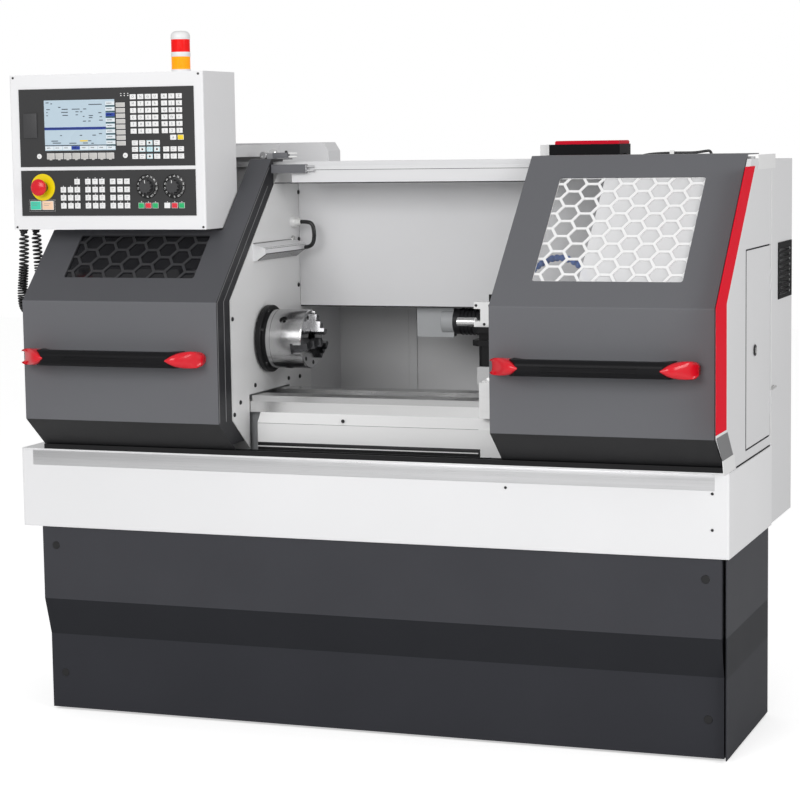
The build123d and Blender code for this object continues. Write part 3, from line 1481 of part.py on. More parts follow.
def build_tower():
    """The signal tower's base, core, ring and dome, which carry the two lenses."""
    level = console_top_z
    tower = rod_z(tower_x, tower_back, (level, level + tower_base_height), tower_radius)
    top = tower_ring_z[1] + tower_lens_height
    tower += rod_z(tower_x, tower_back, (level + 1, top + 1), tower_core_radius)
    tower += rod_z(tower_x, tower_back, tower_ring_z, tower_radius)
    dome = rod_z(tower_x, tower_back, (top, top + tower_dome_height), tower_radius)
    return tower + chamfer(dome.edges().group_by(Axis.Z)[-1], tower_dome_chamfer)


tower_lens_z = console_top_z + tower_base_height
tower_ring_z = (tower_lens_z + tower_lens_height, tower_lens_z + tower_lens_height + tower_ring_height)


def build_lens(low):
    """One lens ring of the signal tower."""
    z = (low, low + tower_lens_height)
    return rod_z(tower_x, tower_back, z, tower_radius - 1) - rod_z(tower_x, tower_back, z, tower_core_radius)


def gland(base, direction):
    """One cable gland: a hexagonal nut and a chamfered cap, standing along a direction from its base."""
    nut = extrude(RegularPolygon(gland_nut_radius, 6), gland_nut_length)
    cap = Pos(0, 0, gland_length / 2) * Cylinder(gland_radius, gland_length)
    cap = chamfer(cap.edges().group_by(Axis.Z)[-1], gland_chamfer)
    return Plane(origin=base, z_dir=direction) * (nut + cap)


curly_x = console_left_x + cord_from_left
lamp_cable_start = wall_x + lamp_gland_reach


def build_glands():
    """The cable glands: two for the curly cord, one for the lamp's cable and two for the roof cable."""
    down, along, up = (0, 0, -1), (1, 0, 0), (0, 0, 1)
    cord_ends = (cord_route[0][0], cord_route[-1][0])
    curly = [gland((curly_x, depth(back), console_bottom_z), down) for back in cord_ends]
    lamp = gland((lamp_cable_start - gland_length, depth(lamp_gland_back), lamp_gland_z), along)
    unit = gland((unit_left_x + unit_width, depth(unit_back + unit_depth / 2), roof_cable_z), along)
    roof = gland((roof_gland_x, depth(unit_back + unit_depth / 2), cabinet_top_z), up)
    return Compound(curly + [lamp, unit, roof])


def tube(points, radius, bends):
    """A round cable along straight runs joined by tangent arcs."""
    path = FilletPolyline(*points, radius=bends)
    start = Plane(origin=path @ 0, z_dir=path % 0)
    return sweep(start * Circle(radius), path=path)


def bend_radii(points, share=0.45):
    """The largest bends that the runs of a route allow."""
    radii = []
    for a, b, c in zip(points, points[1:], points[2:]):
        first, second = Vector(*b) - Vector(*a), Vector(*c) - Vector(*b)
        half_turn = math.radians(first.get_angle(second)) / 2
        radii.append(share * min(first.length, second.length) / math.tan(half_turn))
    print("bend radii", [round(radius, 1) for radius in radii])
    return radii


def build_curly_cord():
    """The outer form of the curly cord that hangs in a loop under the console."""
    points = [(curly_x, depth(back), z) for back, z in cord_route]
    return tube(points, coil_diameter / 2, bend_radii(points))


def build_lamp():
    """The work lamp: a wedge-shaped aluminium housing along the side wall."""
    section = [(wall_x + across, lamp_top_z + rise) for across, rise in lamp_section]
    plane = Plane(origin=(0, depth(lamp_front_back), 0), x_dir=(1, 0, 0), z_dir=(0, -1, 0))
    return extrude(plane * make_face(Polyline(*section, close=True)), -lamp_length)


def build_lamp_cable():
    """The lamp's cable, from its gland on the wall round into the lamp's face."""
    points = [(wall_x + across, depth(lamp_gland_back), z) for across, z in lamp_cable_route]
    return tube(points, lamp_cable_radius, bend_radii(points))


def build_unit():
    """The lubrication unit on the roof: its tank, lid and side box."""
    x = (unit_left_x, unit_left_x + unit_width)
    back = (unit_back, unit_back + unit_depth)
    lid_z = cabinet_top_z + unit_height
    unit = block(x, back, (cabinet_top_z, lid_z))
    side = block((x[0] - unit_side_width, x[0]), (back[0] + unit_side_inset, back[1] - unit_side_inset),
                 (cabinet_top_z, lid_z))
    lid = block((x[0] + unit_lid_left, x[1] - unit_lid_margin),
                (back[0] + unit_lid_margin, back[1] - unit_lid_margin), (lid_z, lid_z + unit_lid_height))
    return Compound([unit + side, chamfer(lid.edges().group_by(Axis.Z)[-1], unit_lid_chamfer)])


def build_roof_cable():
    """The cable from the unit along the roof and down into its gland."""
    back = depth(unit_back + unit_depth / 2)
    start_x = unit_left_x + unit_width + gland_length
    end_z = cabinet_top_z + gland_length
    route = [(start_x, roof_cable_z), (start_x + 38, roof_cable_z), (start_x + 96, roof_cable_z - 5),
             (roof_gland_x - 72, roof_cable_z + 12), (roof_gland_x - 24, roof_cable_z + 17),
             (roof_gland_x, roof_cable_z + 6), (roof_gland_x, end_z)]
    points = [(x, back, z) for x, z in route]
    return tube(points, roof_cable_radius, bend_radii(points))


os.makedirs("parts", exist_ok=True)

left_door = build_left_door()
right_door = build_right_door()
save(left_door, "left_door")
save(right_door, "right_door")
for side, x0, length in (("left", left_door_x, left_window_length), ("right", right_door_x, window_length)):
    span = (x0 + window_margin, x0 + door_width - window_margin)
    save(window_guard(span, (window_start, window_start + length)), side + "_window_guard")
    bar, ends = handle_parts(x0)
    save(bar, side + "_handle_bar")
    save(ends, side + "_handle_ends")

save(build_base(), "base_cabinet")
save(build_base_cover(), "base_front_cover")
save(build_base_plugs(), "base_plugs")
save(build_tray(), "chip_tray")
save(build_track(), "door_track")
save(build_bed(), "bed_casting")
save(build_way_guard(), "way_guard")
save(build_headstock(), "headstock_casting")
save(build_left_housing(), "left_housing")
save(build_upper_panel(), "upper_back_panel")
save(build_recess_wall(), "recess_back_wall")
save(build_rail_and_beam(), "top_rail_beam")
save(build_right_housing(), "right_housing")
save(build_end_panel(), "right_end_panel")
save(build_access_door(), "access_door")
save(build_red_trim(), "red_side_trim")
save(build_cabinet(), "rear_cabinet")
save(build_louvre(), "cabinet_louvre")

save(build_spindle(), "spindle")
save(build_backplate(), "chuck_backplate")
save(build_chuck_body(), "chuck_body")
for number, angle in enumerate(jaw_angles, 1):
    save(build_jaw(angle), "chuck_jaw_" + str(number))

save(build_saddle(), "saddle")
save(build_cross_slide(), "cross_slide")
for level in range(1, cover_levels):
    save(build_cover_plate(level), "cover_plate_" + str(level + 1))
save(build_turret_base(), "turret_base")
save(build_turret_head(), "turret_head")
save(build_tool_holder(), "tool_holder")
save(build_turret_motor(), "turret_motor")

save(build_tailstock(), "tailstock")
save(build_quill(), "tailstock_quill")
save(build_handwheel(), "tailstock_handwheel")

save(build_console(), "console_housing")
save(build_arm(), "console_arm")
save(build_display_panel(), "display_panel")
save(build_screen(), "display_screen")
save(build_machine_panel(), "machine_panel")
save(build_stop(), "emergency_stop")
save(build_dial(dial_x[0]), "spindle_dial")
save(build_dial(dial_x[1]), "feed_dial")
save(build_tower(), "signal_tower_body")
save(build_lens(tower_lens_z), "tower_amber_lens")
save(build_lens(tower_ring_z[1]), "tower_red_lens")

save(build_glands(), "cable_glands")
save(build_curly_cord(), "curly_cord")
save(build_lamp(), "work_lamp")
save(build_lamp_cable(), "lamp_cable")
save(build_unit(), "top_unit")
save(build_roof_cable(), "top_cable")
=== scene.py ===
import math

import bmesh
import bpy
from mathutils import Matrix, Vector


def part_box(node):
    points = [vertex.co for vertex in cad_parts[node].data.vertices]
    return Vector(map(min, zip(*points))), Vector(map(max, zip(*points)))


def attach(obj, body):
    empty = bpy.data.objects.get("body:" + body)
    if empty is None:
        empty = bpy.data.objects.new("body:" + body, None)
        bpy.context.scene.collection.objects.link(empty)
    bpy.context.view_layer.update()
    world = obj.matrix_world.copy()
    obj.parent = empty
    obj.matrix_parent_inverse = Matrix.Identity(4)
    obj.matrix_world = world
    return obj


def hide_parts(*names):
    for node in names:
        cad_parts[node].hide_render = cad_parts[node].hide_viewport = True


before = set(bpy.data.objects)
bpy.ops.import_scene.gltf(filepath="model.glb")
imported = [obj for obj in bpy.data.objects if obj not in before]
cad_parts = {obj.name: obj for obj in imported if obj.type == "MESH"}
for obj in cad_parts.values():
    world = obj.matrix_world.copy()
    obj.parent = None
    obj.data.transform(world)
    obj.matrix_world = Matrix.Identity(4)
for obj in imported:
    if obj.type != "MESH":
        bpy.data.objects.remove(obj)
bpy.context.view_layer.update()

# Camera: it stands off the tailstock's end of the machine at eye height, facing the bed and the console.
# Its long lens keeps the enclosure's upright edges nearly parallel.
camera_data = bpy.data.cameras.new("camera")
camera_data.lens = 103.97
camera_data.sensor_width = 36
camera_data.clip_end = 60
camera = bpy.data.objects.new("camera", camera_data)
bpy.context.collection.objects.link(camera)
camera_place = (2.42056, -6.56863, 1.75312)
turn_left, look_down, roll = 0.3524, 0.1132, -0.0146
camera_turn = Matrix.Rotation(turn_left, 4, "Z") @ Matrix.Rotation(math.pi / 2 - look_down, 4, "X")
camera.matrix_world = Matrix.Translation(camera_place) @ camera_turn @ Matrix.Rotation(roll, 4, "Z")
bpy.context.scene.camera = camera


# Curly cord: the hand unit's black rubber lead hangs in a loop under the console, between two glands.
# It is one wire wound into a helix, looser where its own weight stretches it near the glands.
tray_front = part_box("chip_tray")[0].y


def at(x, back, z):
    """A point from its place along the machine, its distance behind the tray's front and its height."""
    return Vector((x, tray_front + back, z))


def add_node(tree, kind, inputs=None, **settings):
    """A shader node with its settings, and with values or links on its inputs."""
    made = tree.nodes.new("ShaderNode" + kind)
    for key, value in settings.items():
        setattr(made, key, value)
    for key, value in (inputs or {}).items():
        if isinstance(value, bpy.types.NodeSocket):
            tree.links.new(value, made.inputs[key])
        else:
            made.inputs[key].default_value = value
    return made


def maths(tree, operation, first, second=0.0):
    """The output of one Math node."""
    return add_node(tree, "Math", {0: first, 1: second}, operation=operation).outputs[0]


def vector_maths(tree, operation, first, second):
    """The output of one Vector Math node."""
    return add_node(tree, "VectorMath", {0: first, 1: second}, operation=operation).outputs[0]


def scaled(tree, colour, factor):
    """A colour made lighter or darker by a factor."""
    return add_node(tree, "VectorMath", {0: colour, "Scale": factor}, operation="SCALE").outputs[0]


def blend_colour(tree, mask, below, above):
    """A colour that goes from one value to another by a mask."""
    return add_node(tree, "Mix", {0: mask, 6: below, 7: above}, data_type="RGBA").outputs[2]


def new_group(name, inputs, outputs):
    """An empty shader node group with named inputs and outputs."""
    tree = bpy.data.node_groups.new(name, "ShaderNodeTree")
    for label, kind, value in inputs:
        socket = tree.interface.new_socket(label, in_out="INPUT", socket_type="NodeSocket" + kind)
        socket.default_value = value
    for label, kind in outputs:
        tree.interface.new_socket(label, in_out="OUTPUT", socket_type="NodeSocket" + kind)
    return tree, tree.nodes.new("NodeGroupInput").outputs, tree.nodes.new("NodeGroupOutput").inputs


def use_group(tree, group, inputs):
    """A placed node group with its own values."""
    return add_node(tree, "Group", inputs, node_tree=group).outputs


def build_film_group():
    """The skin of sprayed or moulded surfaces: a fine grain, broad tone changes and a scatter of specks."""
    tree, given, result = new_group(
        "surface_film",
        [("Colour", "Color", (0.5, 0.5, 0.5, 1)), ("Roughness", "Float", 0.4), ("Grain", "Float", 600.0),
         ("Mottle", "Float", 0.06), ("Speck", "Float", 0.0)],
        [("Colour", "Color"), ("Roughness", "Float"), ("Height", "Float")])
    place = add_node(tree, "TexCoord").outputs["Object"]
    fine = add_node(tree, "TexNoise", {"Vector": place, "Scale": given["Grain"], "Detail": 2.0}).outputs[0]
    broad = add_node(tree, "TexNoise", {"Vector": place, "Scale": 2.6, "Detail": 4.0}).outputs[0]
    tone = maths(tree, "MULTIPLY", maths(tree, "SUBTRACT", broad, 0.5), given["Mottle"])
    specks = maths(tree, "MULTIPLY", maths(tree, "SUBTRACT", fine, 0.5), given["Speck"])
    shade = maths(tree, "ADD", maths(tree, "ADD", tone, specks), 1.0)
    tree.links.new(scaled(tree, given["Colour"], shade), result["Colour"])
    wander = maths(tree, "MULTIPLY", maths(tree, "SUBTRACT", broad, 0.5), 0.16)
    tree.links.new(maths(tree, "ADD", given["Roughness"], wander), result["Roughness"])
    tree.links.new(fine, result["Height"])
    return tree


surface_film = build_film_group()


def start_material(name, metallic=0.0, coat=0.0, coat_roughness=0.1, specular=0.3):
    """A new material with its Principled shader."""
    material = bpy.data.materials.new(name)
    material.use_nodes = True
    shader = material.node_tree.nodes["Principled BSDF"]
    shader.inputs["Metallic"].default_value = metallic
    shader.inputs["Coat Weight"].default_value = coat
    shader.inputs["Coat Roughness"].default_value = coat_roughness
    shader.inputs["Specular IOR Level"].default_value = specular
    return material, material.node_tree, shader


def surface(tree, shader, effect, depth):
    """Joins a surface effect's colour, roughness and height to a shader."""
    tree.links.new(effect["Colour"], shader.inputs["Base Color"])
    tree.links.new(effect["Roughness"], shader.inputs["Roughness"])
    bump = add_node(tree, "Bump", {"Height": effect["Height"], "Strength": 0.6, "Distance": depth})
    tree.links.new(bump.outputs[0], shader.inputs["Normal"])


def coated(name, colour, roughness, grain=600.0, mottle=0.06, speck=0.0, depth=0.0002, **shader_values):
    """A paint, plastic or rubber finish."""
    material, tree, shader = start_material(name, **shader_values)
    effect = use_group(tree, surface_film, {"Colour": (*colour, 1), "Roughness": roughness, "Grain": grain,
                                            "Mottle": mottle, "Speck": speck})
    surface(tree, shader, effect, depth)
    return material


def follow(points):
    """The points of the smooth line through a route's control points."""
    curve = bpy.data.curves.new("route", "CURVE")
    curve.dimensions = "3D"
    curve.resolution_u = 24
    lay_spline(curve, points)
    holder = bpy.data.objects.new("route", curve)
    mesh = bpy.data.meshes.new_from_object(holder)
    line = [vertex.co.copy() for vertex in mesh.vertices]
    bpy.data.objects.remove(holder)
    bpy.data.meshes.remove(mesh)
    return line


point_radius = 0.001


def lay_spline(curve, points):
    """One open NURBS spline with these control points, whose small radius keeps the curve's bounds tight."""
    spline = curve.splines.new("NURBS")
    spline.points.add(len(points) - 1)
    for control, point in zip(spline.points, points):
        control.co = (*point, 1)
        control.radius = point_radius
    spline.order_u = 3
    spline.use_endpoint_u = True


def finish_piece(piece, body, material):
    """Lets a new piece ride on its body with its slot and material."""
    if not piece.data.materials:
        piece.data.materials.append(material)
    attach(piece, body)
    return piece


def cable_piece(name, points, radius, body, material):
    """A round cable or wire along a smooth line."""
    curve = bpy.data.curves.new(name, "CURVE")
    curve.dimensions = "3D"
    curve.bevel_depth = radius / point_radius
    curve.bevel_resolution = 3
    curve.resolution_u = 8
    curve.use_fill_caps = True
    lay_spline(curve, points)
    piece = bpy.data.objects.new(name, curve)
    bpy.context.collection.objects.link(piece)
    return finish_piece(piece, body, material)


cord_route = [(-1.083, 0.028, 1.480), (-1.083, 0.028, 1.402), (-1.096, 0.020, 1.255), (-1.090, 0.078, 1.236),
              (-1.076, 0.118, 1.262), (-1.078, 0.102, 1.402), (-1.081, 0.100, 1.480)]
wire_radius = 0.003
helix_radius = 0.0128
loose_pitch = 0.0135
close_pitch = 0.0084
loose_length = 0.10
turn_points = 14

black_rubber = coated("black_rubber", (0.012, 0.012, 0.013), 0.30, grain=1400, depth=0.0001, coat=0.25)
cord_line = follow([at(*point) for point in cord_route])
cord_length = sum((b - a).length for a, b in zip(cord_line, cord_line[1:]))
helix = []
walked, turn = 0.0, 0.0
step = 1 / turn_points
for here, there in zip(cord_line, cord_line[1:]):
    run = (there - here).length
    along = (there - here).normalized()
    side = Vector((1, 0, 0))
    across = along.cross(side)
    done = 0.0
    while done < run:
        to_end = min(walked + done, cord_length - walked - done)
        pitch = loose_pitch if to_end < loose_length else close_pitch
        reach = helix_radius * min(1, 0.15 + to_end / 0.012)
        angle = 2 * math.pi * turn
        centre = here.lerp(there, done / run)
        helix.append(centre + reach * (side * math.cos(angle) + across * math.sin(angle)))
        done += pitch * step
        turn += step
    walked += run
helix[0] = cord_line[0]
helix[-1] = cord_line[-1]
curly_cord = cable_piece("curly_cord_wire", helix, wire_radius, "machine", black_rubber)
curly_cord.data.resolution_u = 2
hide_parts("curly_cord")


# Cable glands: moulded black nuts with round caps on the console, the wall and the roof.
# The one at the lamp is plated metal, which a box round its place marks out.
def build_box_group():
    """A mask that is one inside a box, measured in the object's own coordinates."""
    tree, given, result = new_group(
        "inside_box", [("Low", "Vector", (0, 0, 0)), ("High", "Vector", (1, 1, 1))], [("Mask", "Float")])
    place = add_node(tree, "TexCoord").outputs["Object"]
    above = vector_maths(tree, "SUBTRACT", place, given["Low"])
    below = vector_maths(tree, "SUBTRACT", given["High"], place)
    least = vector_maths(tree, "MINIMUM", above, below)
    parts = add_node(tree, "SeparateXYZ", {0: least}).outputs
    nearest = maths(tree, "MINIMUM", maths(tree, "MINIMUM", parts[0], parts[1]), parts[2])
    tree.links.new(maths(tree, "GREATER_THAN", nearest, 0.0), result["Mask"])
    return tree


inside_box = build_box_group()


def region(low_x=-9, low_y=-9, low_z=-9, high_x=9, high_y=9, high_z=9):
    """The two corners of a region that is open on every side without a limit."""
    return Vector((low_x, low_y, low_z)), Vector((high_x, high_y, high_z))


def coated_with_zones(name, colour, roughness, zones, specular=0.2, **film):
    """A finish that changes inside boxes, each given as (low, high, colour, metallic)."""
    material, tree, shader = start_material(name, specular=specular)
    tone, metal = (*colour, 1), 0.0
    for low, high, zone_colour, metallic in zones:
        mask = use_group(tree, inside_box, {"Low": tuple(low), "High": tuple(high)})["Mask"]
        tone = blend_colour(tree, mask, tone, (*zone_colour, 1))
        metal = add_node(tree, "Mix", {0: mask, 2: metal, 3: metallic}).outputs[0]
    effect = use_group(tree, surface_film, {"Colour": tone, "Roughness": roughness, **film})
    surface(tree, shader, effect, 0.0002)
    tree.links.new(metal, shader.inputs["Metallic"])
    return material


def dress(material, *nodes):
    """Gives carried-over pieces their material."""
    for name in nodes:
        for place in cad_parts[name].material_slots:
            place.link = "OBJECT"
            place.material = material


def new_piece(name, shape, body, material, crease=35):
    """An object from a bmesh, smooth except along its sharp edges."""
    bmesh.ops.recalc_face_normals(shape, faces=shape.faces)
    for face in shape.faces:
        face.smooth = True
    for edge in shape.edges:
        if len(edge.link_faces) == 2 and edge.calc_face_angle() > math.radians(crease):
            edge.smooth = False
    mesh = bpy.data.meshes.new(name)
    shape.to_mesh(mesh)
    shape.free()
    piece = bpy.data.objects.new(name, mesh)
    bpy.context.collection.objects.link(piece)
    return finish_piece(piece, body, material)


def add_box(shape, low, high, rounding=0.0, layer=0):
    """A box between two corners with rounded edges."""
    place = Matrix.Translation((low + high) / 2) @ Matrix.Diagonal((*(high - low), 1))
    made = bmesh.ops.create_cube(shape, size=1, matrix=place)
    faces = {face for vertex in made["verts"] for face in vertex.link_faces}
    for face in faces:
        face.material_index = layer
    if rounding:
        edges = {edge for vertex in made["verts"] for edge in vertex.link_edges}
        bmesh.ops.bevel(shape, geom=list(edges), offset=rounding, segments=2, profile=0.6, affect="EDGES")


def box_piece(name, low, high, body, material, rounding=0.0):
    """A piece that is one box."""
    shape = bmesh.new()
    add_box(shape, low, high, rounding)
    new_piece(name, shape, body, material)


def add_turned(shape, origin, axis, profile, steps=32, layer=0):
    """A turned form: a profile of (radius, distance along the axis) spun about that axis."""
    turn = Vector((0, 0, 1)).rotation_difference(Vector(axis)).to_matrix()
    rings = []
    for radius, along in profile:
        if radius < 1e-6:
            rings.append([shape.verts.new(origin + turn @ Vector((0, 0, along)))])
            continue
        ring = []
        for i in range(steps):
            angle = 2 * math.pi * i / steps
            point = Vector((radius * math.cos(angle), radius * math.sin(angle), along))
            ring.append(shape.verts.new(origin + turn @ point))
        rings.append(ring)
    for first, second in zip(rings, rings[1:]):
        for i in range(steps):
            j = (i + 1) % steps
            near, far = len(first), len(second)
            corners = [first[i % near], first[j % near], second[j % far], second[i % far]]
            unique = list(dict.fromkeys(corners))
            if len(unique) > 2:
                shape.faces.new(unique).material_index = layer


def add_loft(shape, rings):
    """A closed form through rings of points, with a face on each side and at both ends."""
    placed = [[shape.verts.new(point) for point in ring] for ring in rings]
    for first, second in zip(placed, placed[1:]):
        for i in range(len(first)):
            j = (i + 1) % len(first)
            shape.faces.new([first[i], first[j], second[j], second[i]])
    shape.faces.new(placed[0])
    shape.faces.new(placed[-1])


def socket_screw(shape, origin, axis, radius, height):
    """A button-head screw with its hexagon socket."""
    add_turned(shape, origin, axis, [
        (radius, 0), (radius, height * 0.35), (radius * 0.86, height * 0.8), (radius * 0.6, height),
        (radius * 0.42, height), (radius * 0.38, height * 0.3), (0, height * 0.3)], steps=18)


wall_x, roof_z, roof_back = -0.384, 1.672, 0.625
lamp_gland_back, lamp_gland_z = 0.473, 1.496
gland_finish = coated_with_zones(
    "gland_finish", (0.02, 0.02, 0.021), 0.38,
    [(at(wall_x, 0.44, 1.47), at(wall_x + 0.05, 0.51, 1.52), (0.80, 0.80, 0.79), 0.3)], Grain=900.0)
glands = bmesh.new()
socket_depth = Vector((0, 0, 0.012))
for place, way in ((at(*cord_route[0]) + socket_depth, (0, 0, -1)),
                   (at(*cord_route[-1]) + socket_depth, (0, 0, -1)),
                   (at(wall_x + 0.016, lamp_gland_back, lamp_gland_z), (1, 0, 0)),
                   (at(0.647, roof_back, roof_z + 0.011), (1, 0, 0)),
                   (at(0.912, roof_back, roof_z), (0, 0, 1))):
    add_turned(glands, place, way, [(0, 0), (0.0135, 0), (0.0135, 0.006), (0.0105, 0.0062)], steps=6)
    add_turned(glands, place, way, [(0.0105, 0.006), (0.0110, 0.0065), (0.0110, 0.0115), (0.0092, 0.014),
                                    (0.0062, 0.014), (0.0062, 0.011), (0, 0.011)], steps=24)
add_turned(glands, at(wall_x, lamp_gland_back, lamp_gland_z), (1, 0, 0),
           [(0.017, 0), (0.017, 0.013), (0.0155, 0.0155), (0, 0.016)])
glands_piece = new_piece("cable_gland_set", glands, "machine", gland_finish)
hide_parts("cable_glands")


# Lamp and roof cables: plain round black cables; one bends down into the lamp, one lies along the roof.
# A white moulded clip holds the roof cable a little above the sheet.
lamp_route = [(wall_x + 0.028, lamp_gland_back, lamp_gland_z), (-0.340, 0.473, 1.4965),
              (-0.314, 0.473, 1.492), (-0.309, 0.473, 1.455), (-0.314, 0.474, 1.428),
              (-0.330, 0.476, 1.4175), (-0.345, 0.478, 1.4165)]
lamp_cable = cable_piece("lamp_cable_run", [at(*point) for point in lamp_route], 0.0064, "machine",
                         black_rubber)
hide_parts("lamp_cable")
roof_route = [(0.659, 1.683), (0.690, 1.6845), (0.720, 1.6925), (0.792, 1.6955), (0.860, 1.6945),
              (0.888, 1.6985), (0.912, 1.7015), (0.912, 1.683)]
roof_cable = cable_piece("roof_cable_run", [at(x, roof_back, z) for x, z in roof_route], 0.0042, "machine",
                         black_rubber)
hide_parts("top_cable")
pale_plastic = coated("pale_plastic", (0.78, 0.78, 0.77), 0.4)
clip = bmesh.new()
add_box(clip, at(0.782, roof_back - 0.010, roof_z), at(0.802, roof_back + 0.010, roof_z + 0.003), 0.0006)
add_box(clip, at(0.785, roof_back - 0.007, roof_z + 0.003), at(0.799, roof_back + 0.007, roof_z + 0.030),
        0.003)
new_piece("roof_cable_clip", clip, "machine", pale_plastic)


# Base: a welded cabinet of folded sheet steel in anthracite texture paint, on foot plates.
# Its front cover is held by bolts under round black plugs, and a dark joint runs down its right end.
fold_low_z, fold_high_z = 0.240, 0.357
# Below the upper fold the paint turns darker, darkest on the band between the folds: painted shade on the
# faces that turn down from the light.
anthracite = coated_with_zones(
    "anthracite_texture", (0.052, 0.053, 0.060), 0.52,
    [(*region(high_z=fold_high_z), (0.024, 0.025, 0.029), 0.0),
     (*region(high_z=fold_low_z), (0.034, 0.035, 0.041), 0.0)],
    specular=0.08, Grain=1500.0, Mottle=0.25, Speck=0.5)
dress(anthracite, "base_cabinet", "base_front_cover")
black_plastic = coated("black_plastic", (0.016, 0.016, 0.017), 0.36, grain=1100, depth=0.0001)
dress(black_plastic, "base_plugs")


# Chip tray: a deep folded pan in white enamel with closed corners, wrapped round the whole machine.
# A bare brushed strip is set along the top of its front, and three small black screws sit in the sheet.
def build_metal_group():
    """Bare metal with a drawn grain: streaks are long along the axes that are scaled down."""
    tree, given, result = new_group(
        "drawn_grain",
        [("Colour", "Color", (0.6, 0.6, 0.6, 1)), ("Roughness", "Float", 0.3),
         ("Scale", "Vector", (5, 400, 400)), ("Contrast", "Float", 0.25)],
        [("Colour", "Color"), ("Roughness", "Float"), ("Height", "Float")])
    place = add_node(tree, "TexCoord").outputs["Object"]
    drawn = vector_maths(tree, "MULTIPLY", place, given["Scale"])
    streak = add_node(tree, "TexNoise", {"Vector": drawn, "Scale": 1.0, "Detail": 4.0}).outputs[0]
    broad = add_node(tree, "TexNoise", {"Vector": place, "Scale": 6.0, "Detail": 3.0}).outputs[0]
    both = maths(tree, "ADD", maths(tree, "MULTIPLY", streak, 0.75), maths(tree, "MULTIPLY", broad, 0.25))
    swing = maths(tree, "MULTIPLY", maths(tree, "SUBTRACT", both, 0.5), given["Contrast"])
    tree.links.new(scaled(tree, given["Colour"], maths(tree, "ADD", swing, 1.0)), result["Colour"])
    tree.links.new(maths(tree, "ADD", given["Roughness"], maths(tree, "MULTIPLY", swing, 0.5)),
                   result["Roughness"])
    tree.links.new(streak, result["Height"])
    return tree


drawn_grain = build_metal_group()


def bare_metal(name, colour, roughness, scale, contrast=0.3, depth=0.00004, metallic=1.0):
    """A ground, brushed or drawn metal finish."""
    material, tree, shader = start_material(name, metallic=metallic, specular=0.5)
    effect = use_group(tree, drawn_grain, {"Colour": (*colour, 1), "Roughness": roughness, "Scale": scale,
                                           "Contrast": contrast})
    surface(tree, shader, effect, depth)
    return material


tray_white = coated("tray_enamel", (0.80, 0.80, 0.81), 0.36, grain=420, mottle=0.05, depth=0.0002, coat=0.25)
dress(tray_white, "chip_tray")
brushed_strip = bare_metal("brushed_strip", (0.70, 0.70, 0.71), 0.30, (4, 900, 900), contrast=0.35)
box_piece("tray_trim_strip", at(-1.060, -0.0009, 0.773), at(1.059, 0, 0.818), "machine",
          brushed_strip, 0.0003)
black_screws = coated("blackened_screws", (0.02, 0.02, 0.021), 0.34, grain=2000, depth=0.0001)
screw_radius = 0.0042
tray_screws = bmesh.new()
for x, z in ((1.0527, 0.765), (1.0528, 0.6635), (0.456, 0.7595)):
    socket_screw(tray_screws, at(x, 0, z), (0, -1, 0), screw_radius, 0.003)
new_piece("tray_screws", tray_screws, "machine", black_screws)


# Bed and headstock: grey painted castings, with the two ways ground bright and slightly oiled.
# A white folded guard covers the bed's front wall, held by button-head screws, with a black strip of painted
# shade in the gap under it.
casting_grey = (0.36, 0.37, 0.38)
ground = (0.80, 0.80, 0.80)
way_bottom_z = 0.939
material, tree, shader = start_material("bed_finish")
paint = use_group(tree, surface_film,
                  {"Colour": (*casting_grey, 1), "Roughness": 0.5, "Grain": 260.0, "Mottle": 0.15})
steel = use_group(tree, drawn_grain, {"Colour": (*ground, 1), "Roughness": 0.26, "Scale": (3, 500, 500),
                                      "Contrast": 0.16})
ways_low, ways_high = region(low_z=way_bottom_z)
on_ways = use_group(tree, inside_box, {"Low": ways_low, "High": ways_high})["Mask"]
tree.links.new(blend_colour(tree, on_ways, paint["Colour"], steel["Colour"]), shader.inputs["Base Color"])
tree.links.new(add_node(tree, "Mix", {0: on_ways, 2: paint["Roughness"], 3: steel["Roughness"]}).outputs[0],
               shader.inputs["Roughness"])
tree.links.new(on_ways, shader.inputs["Metallic"])
bump = add_node(tree, "Bump", {"Height": paint["Height"], "Strength": 0.25, "Distance": 0.0003})
tree.links.new(bump.outputs[0], shader.inputs["Normal"])
dress(material, "bed_casting")
casting_paint = coated("casting_paint", casting_grey, 0.5, grain=260, mottle=0.15, depth=0.0006)
dress(casting_paint, "headstock_casting", "tailstock")
white_enamel = coated("white_enamel", (0.78, 0.78, 0.78), 0.34, grain=420, mottle=0.05, depth=0.0002,
                      coat=0.2)
dress(white_enamel, "way_guard", "left_housing", "right_housing")
guard_screws = bmesh.new()
for x, z in ((-0.0757, 0.9226), (0.3814, 0.8250)):
    socket_screw(guard_screws, at(x, 0.0965, z), (0, -1, 0), 0.0055, 0.003)
guard_left, guard_right, shade_strip_front, guard_back, guard_foot = -0.3495, 0.345, 0.0945, 0.0960, 0.8232
# The black strip under the guard is painted shade for the dark gap there, with a thin white bead along it.
box_piece("guard_gap_painted_shade", at(guard_left, shade_strip_front, guard_foot + 0.002),
          at(guard_right, guard_back, guard_foot + 0.030), "machine", black_plastic, 0.0003)
box_piece("guard_gap_bead", at(guard_left, shade_strip_front - 0.0012, guard_foot + 0.0165),
          at(guard_right, shade_strip_front, guard_foot + 0.0195), "machine", white_enamel)
# A grey line along the guard's upper fold is painted shade in the crease.
box_piece("guard_fold_painted_shade", at(guard_left, 0.0954, 0.9095), at(guard_right, guard_back, 0.9107), "machine",
          coated("fold_shade", (0.25, 0.25, 0.25), 0.5))
new_piece("guard_screws", guard_screws, "machine", black_screws)


# Spindle and three-jaw chuck: turned steel with ring marks from the lathe tool, on a blackened backplate.
# Six cap screws hold the body to the backplate, and the stepped jaws are hardened and ground.
chuck_y, chuck_z = at(0, 0.255, 0).y, 1.150


